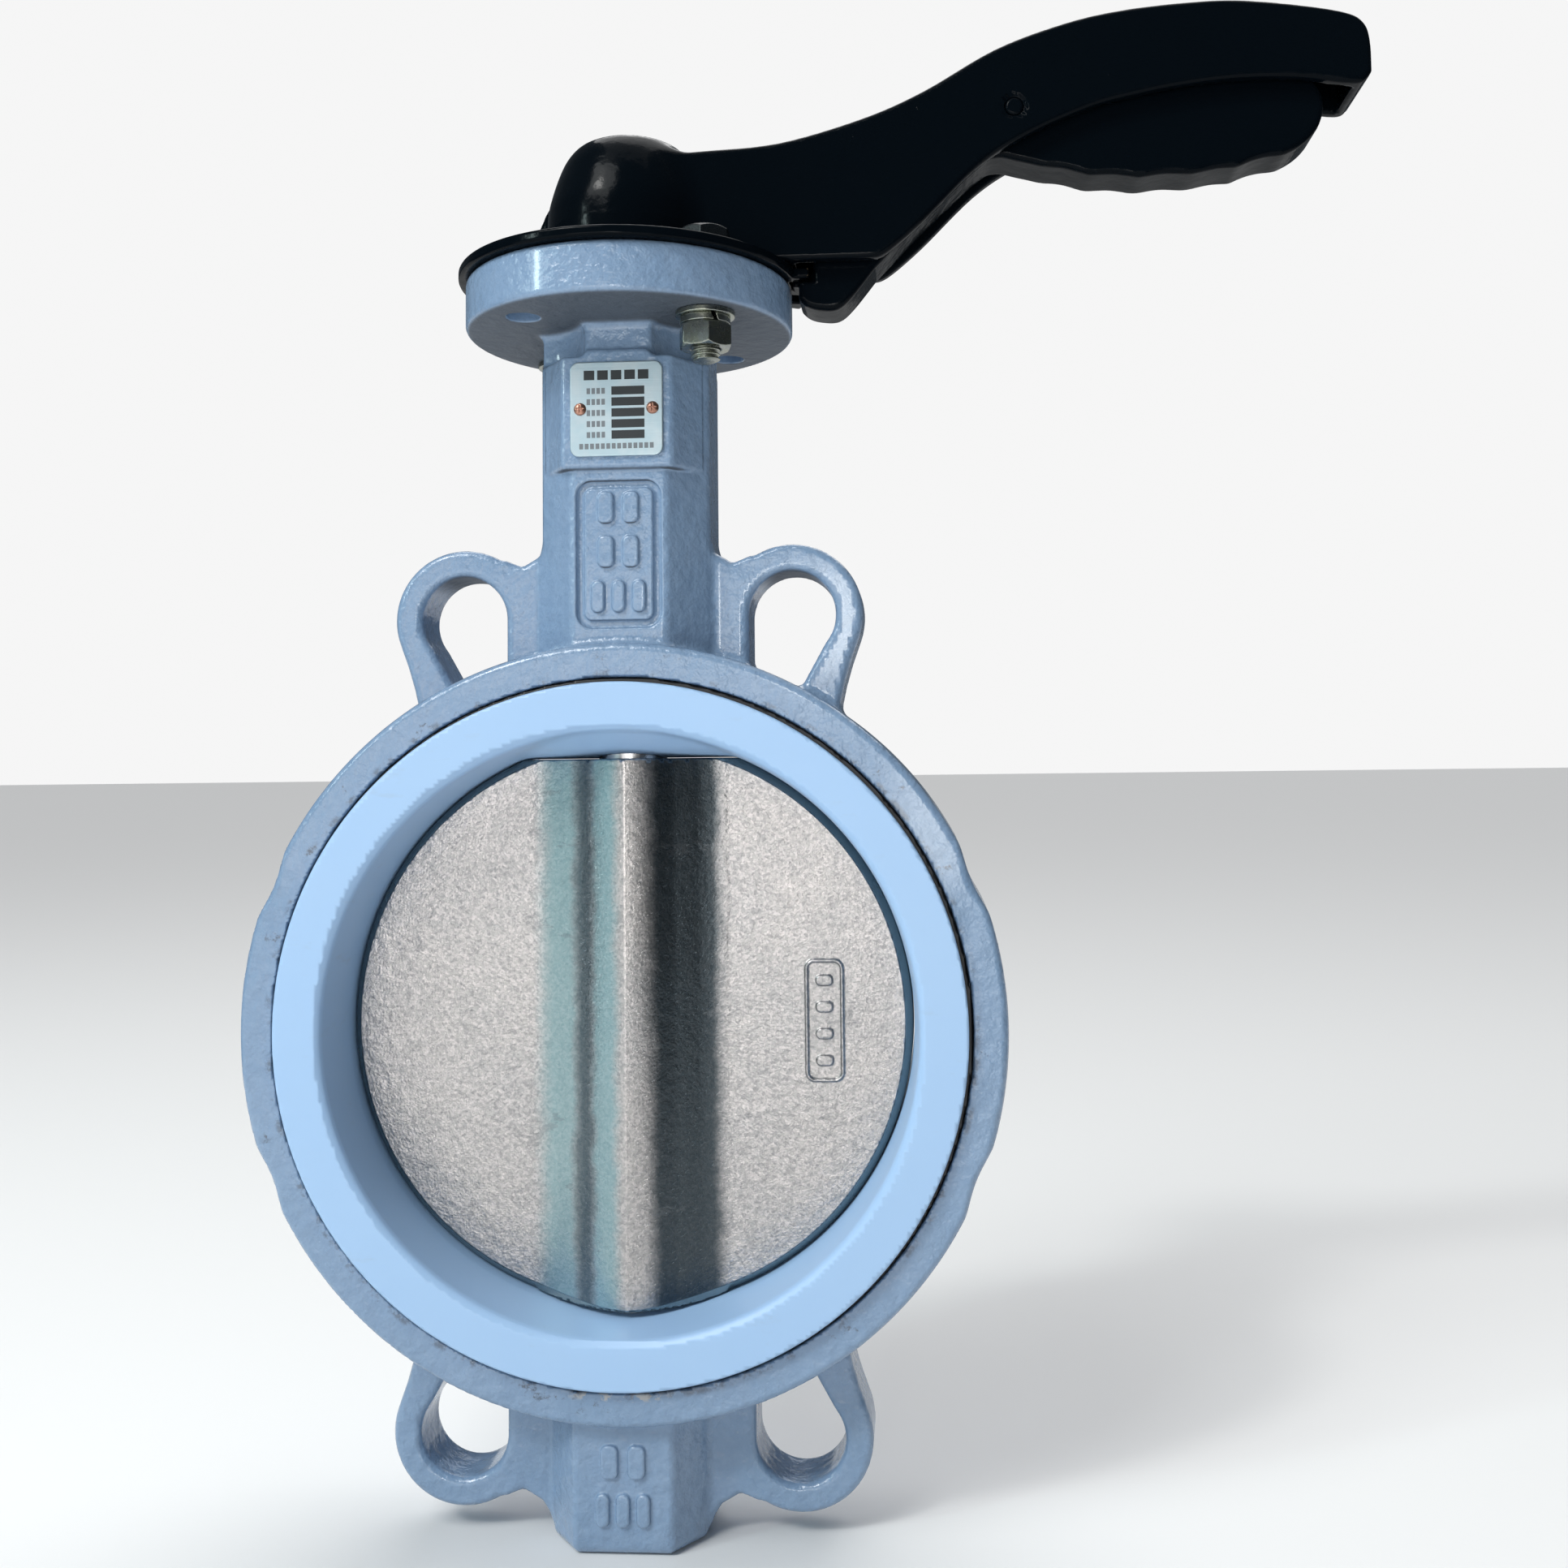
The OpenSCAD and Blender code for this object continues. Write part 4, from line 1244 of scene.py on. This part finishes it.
@dataclass
class Trigger:
    """The squeeze trigger and its return spring, in millimetres."""

    finishes: Finishes
    half: float = 7.5
    tooth_half: float = 3.0
    pin_x: float = 109.0
    pin_z: float = 249.6
    boss_r: float = 7.0
    finger_r: float = 22.0
    finger_depth: float = 0.8
    spring_x: float = 150.0
    pocket_r: float = 5.0
    pocket_sway: float = 1.8
    spring_low: float = 258.0
    spring_high: float = 271.3
    coil_r: float = 3.7
    wire_r: float = 0.5
    turns: int = 6
    squeezed: float = 0.50

    def form(self) -> Form:
        """The trigger with its tooth, nose and finger grip."""
        nose = [(48.6, 199.2), (50.8, 197.2), (54.3, 196.1), (59.2, 196.1), (63.4, 199.4), (70, 207.5)]
        grip = [(83, 220.6), (98, 234.4), (104, 237.6), (111, 236.2), (126, 232.4), (142, 230.7),
                (158, 231.1), (174, 233), (185, 236.4), (191.4, 241.6), (193.8, 248.5), (192.4, 254),
                (188, 257.3), (170, 261), (150, 262), (128, 260.5), (112, 256.2), (104, 254.2), (90, 243),
                (74, 226), (66, 216.5), (60, 213), (52.8, 212.6)]
        blade = outline_xz([(52.8, 204.3), (48.6, 204.3), *flowing(nose), *flowing(grip)])
        for x, z in ((118, 233.6), (134.5, 231.0), (151, 230.6), (167, 231.6), (181, 234.4)):
            blade = blade.cut(rod_y(x, z - self.finger_r + self.finger_depth, self.finger_r), 0.6)
        blade = blade.join(rod_y(self.pin_x, self.pin_z, self.boss_r), 2.0)
        blade = blade.overlap(slab_y(-self.half, self.half), 1.6)
        tooth = slab_x(46.6, 56).overlap(slab_z(204, 207.6)).overlap(
            slab_y(-self.tooth_half, self.tooth_half), 0.4)
        pocket = rod_z(self.spring_x, 0, self.pocket_r)
        pocket = pocket.join(rod_z(self.spring_x + self.pocket_sway, 0, self.pocket_r))
        pocket = pocket.overlap(slab_z(self.spring_low, 275))
        hole = rod_y(self.pin_x, self.pin_z, 2.55)
        return blade.join(tooth, 0.6).cut(pocket, 0.4).cut(hole)

    def spring(self) -> bpy.types.Object:
        """The return spring as a coil of round wire with closed ends."""
        around, steps = 10, self.turns * 20
        height = self.spring_high - self.spring_low - 2 * self.wire_r
        vertices, faces = [], []
        for i in range(steps + 1):
            share = i / steps
            eased = share - 0.06 * math.sin(2 * math.pi * share)
            angle = 2 * math.pi * self.turns * share
            out = Vector((math.cos(angle), math.sin(angle), 0))
            level = self.spring_low + self.wire_r + height * eased
            middle = out * self.coil_r + Vector((self.spring_x, 0, level))
            for k in range(around):
                turn = 2 * math.pi * k / around
                vertices.append((middle + out * self.wire_r * math.cos(turn)
                                 + Vector((0, 0, self.wire_r * math.sin(turn)))) * MM)
        for i in range(steps):
            for k in range(around):
                a, b = i * around + k, i * around + (k + 1) % around
                faces.append((a, b, b + around, a + around))
        faces.append(tuple(range(around))[::-1])
        faces.append(tuple(range(steps * around, (steps + 1) * around)))
        mesh = bpy.data.meshes.new("trigger_spring_coil")
        mesh.from_pydata(vertices, [], faces)
        mesh.shade_smooth()
        coil = bpy.data.objects.new("trigger_spring_coil", mesh)
        bpy.context.scene.collection.objects.link(coil)
        return coil

    def build(self) -> None:
        """Builds the trigger and its spring."""
        sampling = Sampling(spaced(45, 196, 0.7), spaced(-9, 9, 0.6), spaced(194.5, 264, 0.6))
        trigger = skinned("trigger_casting", self.form(), sampling)
        seated(trigger, Body.TRIGGER, Slot.ENAMEL, self.finishes.enamel, "trigger")
        coil = self.spring()
        seated(coil, Body.ROTOR, Slot.SPRING, self.finishes.spring, "trigger_spring")
        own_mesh(coil)


@dataclass
class Nameplate:
    """The riveted nameplate with its printed blocks, in millimetres."""

    finishes: Finishes
    face: float = -21.5
    thick: float = 0.8
    middle: float = 166.2
    width: float = 25.4
    height: float = 25.9
    rivet_x: float = 9.9
    print_t: float = 0.03

    def blocks(self, dark: bool) -> list[tuple[float, float, float, float]]:
        """The printed blocks as middle x, middle z, width and height.

        Args:
            dark: Whether the dark blocks are meant, or the grey ones.

        Returns:
            One row for each block, from the plate's middle.
        """
        rows = [4.9 - 3.0 * i for i in range(5)]
        if dark:
            header = [(-7.4 + 3.7 * i, 9.2, 2.9, 2.6) for i in range(5)]
            return header + [(3.2, z, 9.0, 2.3) for z in rows]
        labels = [(-7.6 + 1.35 * i, z, 0.95, 1.6) for z in rows for i in range(4)]
        return labels + [(-9.6 + 1.48 * i, -10.2, 1.05, 1.5) for i in range(14)]

    def printed(self, name: str, dark: bool) -> bpy.types.Object:
        """Makes thin blocks on the plate's face."""
        vertices, faces = [], []
        front = self.face - self.thick
        for x, z, width, height in self.blocks(dark):
            start = len(vertices)
            for y in (front + 0.01, front - self.print_t):
                for sx, sz in ((-1, -1), (1, -1), (1, 1), (-1, 1)):
                    vertices.append(Vector((x + sx * width / 2, y, self.middle + z + sz * height / 2)) * MM)
            faces.append(tuple(start + k for k in (4, 5, 6, 7)))
            faces.append(tuple(start + k for k in (3, 2, 1, 0)))
            for k in range(4):
                after = (k + 1) % 4
                faces.append((start + k, start + after, start + 4 + after, start + 4 + k))
        mesh = bpy.data.meshes.new(name)
        mesh.from_pydata(vertices, [], faces)
        obj = bpy.data.objects.new(name, mesh)
        bpy.context.scene.collection.objects.link(obj)
        return obj

    def build(self) -> None:
        """Builds the plate, its print and its rivets."""
        front = self.face - self.thick
        plate = soft_box(0, self.middle, self.width, self.height, 2.5).overlap(slab_y(front, self.face), 0.25)
        sampling = Sampling(spaced(-13.6, 13.6, 0.4), spaced(front - 0.6, self.face + 0.6, 0.2),
                            spaced(self.middle - 13.9, self.middle + 13.9, 0.4))
        seated(skinned("nameplate_sheet", plate, sampling), Body.CASING, Slot.NAMEPLATE,
               self.finishes.nameplate, "nameplate")
        for name, dark, finish in (("nameplate_dark_print", True, self.finishes.dark_print),
                                   ("nameplate_grey_print", False, self.finishes.grey_print)):
            seated(self.printed(name, dark), Body.CASING, Slot.NAMEPLATE, finish)
        ball = Form(lambda x, y, z: np.sqrt(x * x + (y - front - 1.6) ** 2 + (z - self.middle) ** 2) - 2.5)
        rivet = ball.overlap(rod_y(0, self.middle, 1.75), 0.3).overlap(slab_y(front - 0.9, front + 0.1))
        groove = slab_x(-0.16, 0.16).join(slab_z(self.middle - 0.16, self.middle + 0.16))
        rivet = rivet.cut(groove.overlap(slab_y(-40, front - 0.6)), 0.1)
        close = spaced(-2.3, 2.3, 0.13)
        pair = skinned("nameplate_rivet_pair", rivet,
                       Sampling(close, spaced(front - 1.2, front + 0.4, 0.12), close + self.middle),
                       ((-self.rivet_x, 0, 0), (self.rivet_x, 0, 0)))
        seated(pair, Body.CASING, Slot.RIVET, self.finishes.copper, "nameplate_rivets")


# ---- the studio ----


@dataclass
class Studio:
    """Floor, lights, surroundings and camera."""

    camera_place: tuple = (0.08157, -0.43390, 0.06924)
    yaw: float = 3.77
    pitch: float = 2.95
    roll: float = -0.67
    lens: float = 35.74
    shift: tuple = (-0.0233, -0.0630)
    floor_half: float = 30.0

    def area(self, name: str, place: tuple, aim: tuple, size: tuple, power: float, colour: tuple) -> None:
        """Adds a soft rectangular light.

        Args:
            name: The light's name.
            place: Where it stands, in metres.
            aim: The point it faces.
            size: Its width and height.
            power: Its output in watts.
            colour: Its colour.
        """
        light = bpy.data.lights.new(name, "AREA")
        light.shape = "RECTANGLE"
        light.size, light.size_y = size
        light.energy = power
        light.color = colour
        obj = bpy.data.objects.new(name, light)
        obj.location = place
        obj.rotation_euler = (Vector(aim) - Vector(place)).to_track_quat("-Z", "Y").to_euler()
        obj.visible_camera = False
        bpy.context.scene.collection.objects.link(obj)

    def polar(self, azimuth: float, height: float, distance: float) -> tuple[float, float, float]:
        """A place round the valve, with azimuth 0 in front and positive angles to the right."""
        around, above = math.radians(azimuth), math.radians(height)
        flat = distance * math.cos(above)
        return (flat * math.sin(around), -flat * math.cos(around), 0.05 + distance * math.sin(above))

    def sun(self, name: str, azimuth: float, height: float, spread: float, power: float,
            colour: tuple) -> None:
        """Adds a distant light.

        Args:
            name: The light's name.
            azimuth: Its direction in degrees, 0 in front and positive to the right.
            height: Its height in degrees.
            spread: Its angular size in degrees.
            power: Its strength.
            colour: Its colour.
        """
        light = bpy.data.lights.new(name, "SUN")
        light.energy = power
        light.angle = math.radians(spread)
        light.color = colour
        obj = bpy.data.objects.new(name, light)
        towards = Vector(self.polar(azimuth, height, 1.0)) - Vector((0, 0, 0.05))
        obj.rotation_euler = (-towards).to_track_quat("-Z", "Y").to_euler()
        bpy.context.scene.collection.objects.link(obj)

    def lights(self) -> None:
        """Adds the lights and the surroundings."""
        near, low = (0, 0, 0.05), (0, 0, 0)
        self.area("key", self.polar(-38, 46, 1.9), near, (0.9, 0.9), 19.6, (0.97, 1.0, 1.0))
        self.area("front_panel", self.polar(-12, 2.5, 1.6), low, (0.86, 0.40), 2.8, (1.0, 0.985, 0.97))
        self.area("teal_panel", self.polar(-47, 2.5, 1.5), low, (0.42, 0.40), 0.45, (0.62, 0.96, 1.0))
        self.area("rim_glint", self.polar(-55, 23, 1.5), (0, 0, 0.2), (0.09, 0.30), 3.0, (0.80, 1.0, 1.0))
        self.area("ring_gloss", (0.10, -1.4, 0.01), (0.085, 0, 0.055), (0.10, 0.16), 0.6, (1.0, 1.0, 0.96))
        self.area("ear_gloss", (-0.03, -1.4, 0.24), (0.056, 0, 0.108), (0.10, 0.12), 0.9, (1.0, 1.0, 0.96))
        self.area("top", (0.0, -0.1, 1.6), low, (1.2, 1.2), 4, (1.0, 1.0, 1.0))
        self.sun("low_sun", -40, 44, 7, 0.55, (1.0, 0.99, 0.96))
        self.sun("rear_sky", 165, 62, 60, 1.7, (1.0, 1.0, 1.0))
        world = bpy.data.worlds.new("studio")
        world.use_nodes = True
        nodes, links = world.node_tree.nodes, world.node_tree.links
        dim = nodes["Background"]
        dim.inputs["Color"].default_value = (0.80, 0.90, 1.0, 1.0)
        dim.inputs["Strength"].default_value = 0.10
        pale = nodes.new("ShaderNodeBackground")
        pale.inputs["Color"].default_value = (1.0, 1.0, 1.0, 1.0)
        pale.inputs["Strength"].default_value = 0.92
        seen = nodes.new("ShaderNodeLightPath")
        mix = nodes.new("ShaderNodeMixShader")
        links.new(seen.outputs["Is Camera Ray"], mix.inputs[0])
        links.new(dim.outputs[0], mix.inputs[1])
        links.new(pale.outputs[0], mix.inputs[2])
        links.new(mix.outputs[0], nodes["World Output"].inputs[0])
        bpy.context.scene.world = world
        bpy.context.scene.view_settings.view_transform = "Standard"

    def floor(self) -> None:
        """Lays the pale floor under the bottom boss."""
        half = self.floor_half
        level = CAD_BOX[0].z
        mesh = bpy.data.meshes.new("floor")
        corners = [(x * half, y * half, level) for x, y in ((-1, -1), (1, -1), (1, 1), (-1, 1))]
        mesh.from_pydata(corners, [], [(0, 1, 2, 3)])
        obj = bpy.data.objects.new("floor", mesh)
        bpy.context.scene.collection.objects.link(obj)
        obj.data.materials.append(Flat("floor", (0.80, 0.80, 0.80), 0.7).material())

    def card(self, name: str, start: float, end: float, distance: float, top: float) -> None:
        """Stands a dark card on the floor, which only reflections see.

        Args:
            name: The card's name.
            start: The azimuth of its first edge, in degrees.
            end: The azimuth of its last edge.
            distance: How far it stands from the stem, in metres.
            top: The height of its upper edge.
        """
        level = CAD_BOX[0].z
        count = 8
        edges = [self.polar(start + (end - start) * i / count, 0, distance)[:2] for i in range(count + 1)]
        vertices = [(*edge, z) for edge in edges for z in (level, top)]
        faces = [(2 * i, 2 * i + 2, 2 * i + 3, 2 * i + 1) for i in range(count)]
        mesh = bpy.data.meshes.new(name)
        mesh.from_pydata(vertices, [], faces)
        mesh.materials.append(Flat(name, (0.02, 0.024, 0.028), 0.9).material())
        obj = bpy.data.objects.new(name, mesh)
        obj.visible_camera = False
        obj.visible_diffuse = False
        obj.visible_shadow = False
        bpy.context.scene.collection.objects.link(obj)

    def camera(self) -> None:
        """Adds the camera."""
        yaw, pitch, roll = (math.radians(a) for a in (self.yaw, self.pitch, self.roll))
        ahead = Vector((-math.sin(yaw) * math.cos(pitch), math.cos(yaw) * math.cos(pitch), math.sin(pitch)))
        right = Vector((math.cos(yaw), math.sin(yaw), 0))
        up = right.cross(ahead)
        across = right * math.cos(roll) + up * math.sin(roll)
        upward = up * math.cos(roll) - right * math.sin(roll)
        data = bpy.data.cameras.new("camera")
        data.sensor_width = 36.0
        data.lens = self.lens
        data.shift_x, data.shift_y = self.shift
        data.clip_start = 0.01
        obj = bpy.data.objects.new("camera", data)
        turn = Matrix((across, upward, -ahead)).transposed().to_4x4()
        obj.matrix_world = Matrix.Translation(Vector(self.camera_place)) @ turn
        bpy.context.scene.collection.objects.link(obj)
        bpy.context.scene.camera = obj

    def build(self) -> None:
        """Builds the studio."""
        self.camera()
        self.lights()
        self.floor()
        self.card("right_card", 25, 100, 0.62, 0.42)
        self.card("left_card", -112, -68, 0.62, 0.42)


def main() -> None:
    """Builds every sub-assembly in order."""
    logging.basicConfig(level=logging.INFO, format="%(message)s")
    Studio().build()
    finishes = Finishes()
    BodyCasting(finishes).build()
    Seat(finishes).build()
    DiscAndStems(finishes).build()
    LatchPlate(finishes).build()
    Lever(finishes).build()
    Trigger(finishes).build()
    Nameplate(finishes).build()


if __name__ == "__main__":
    main()
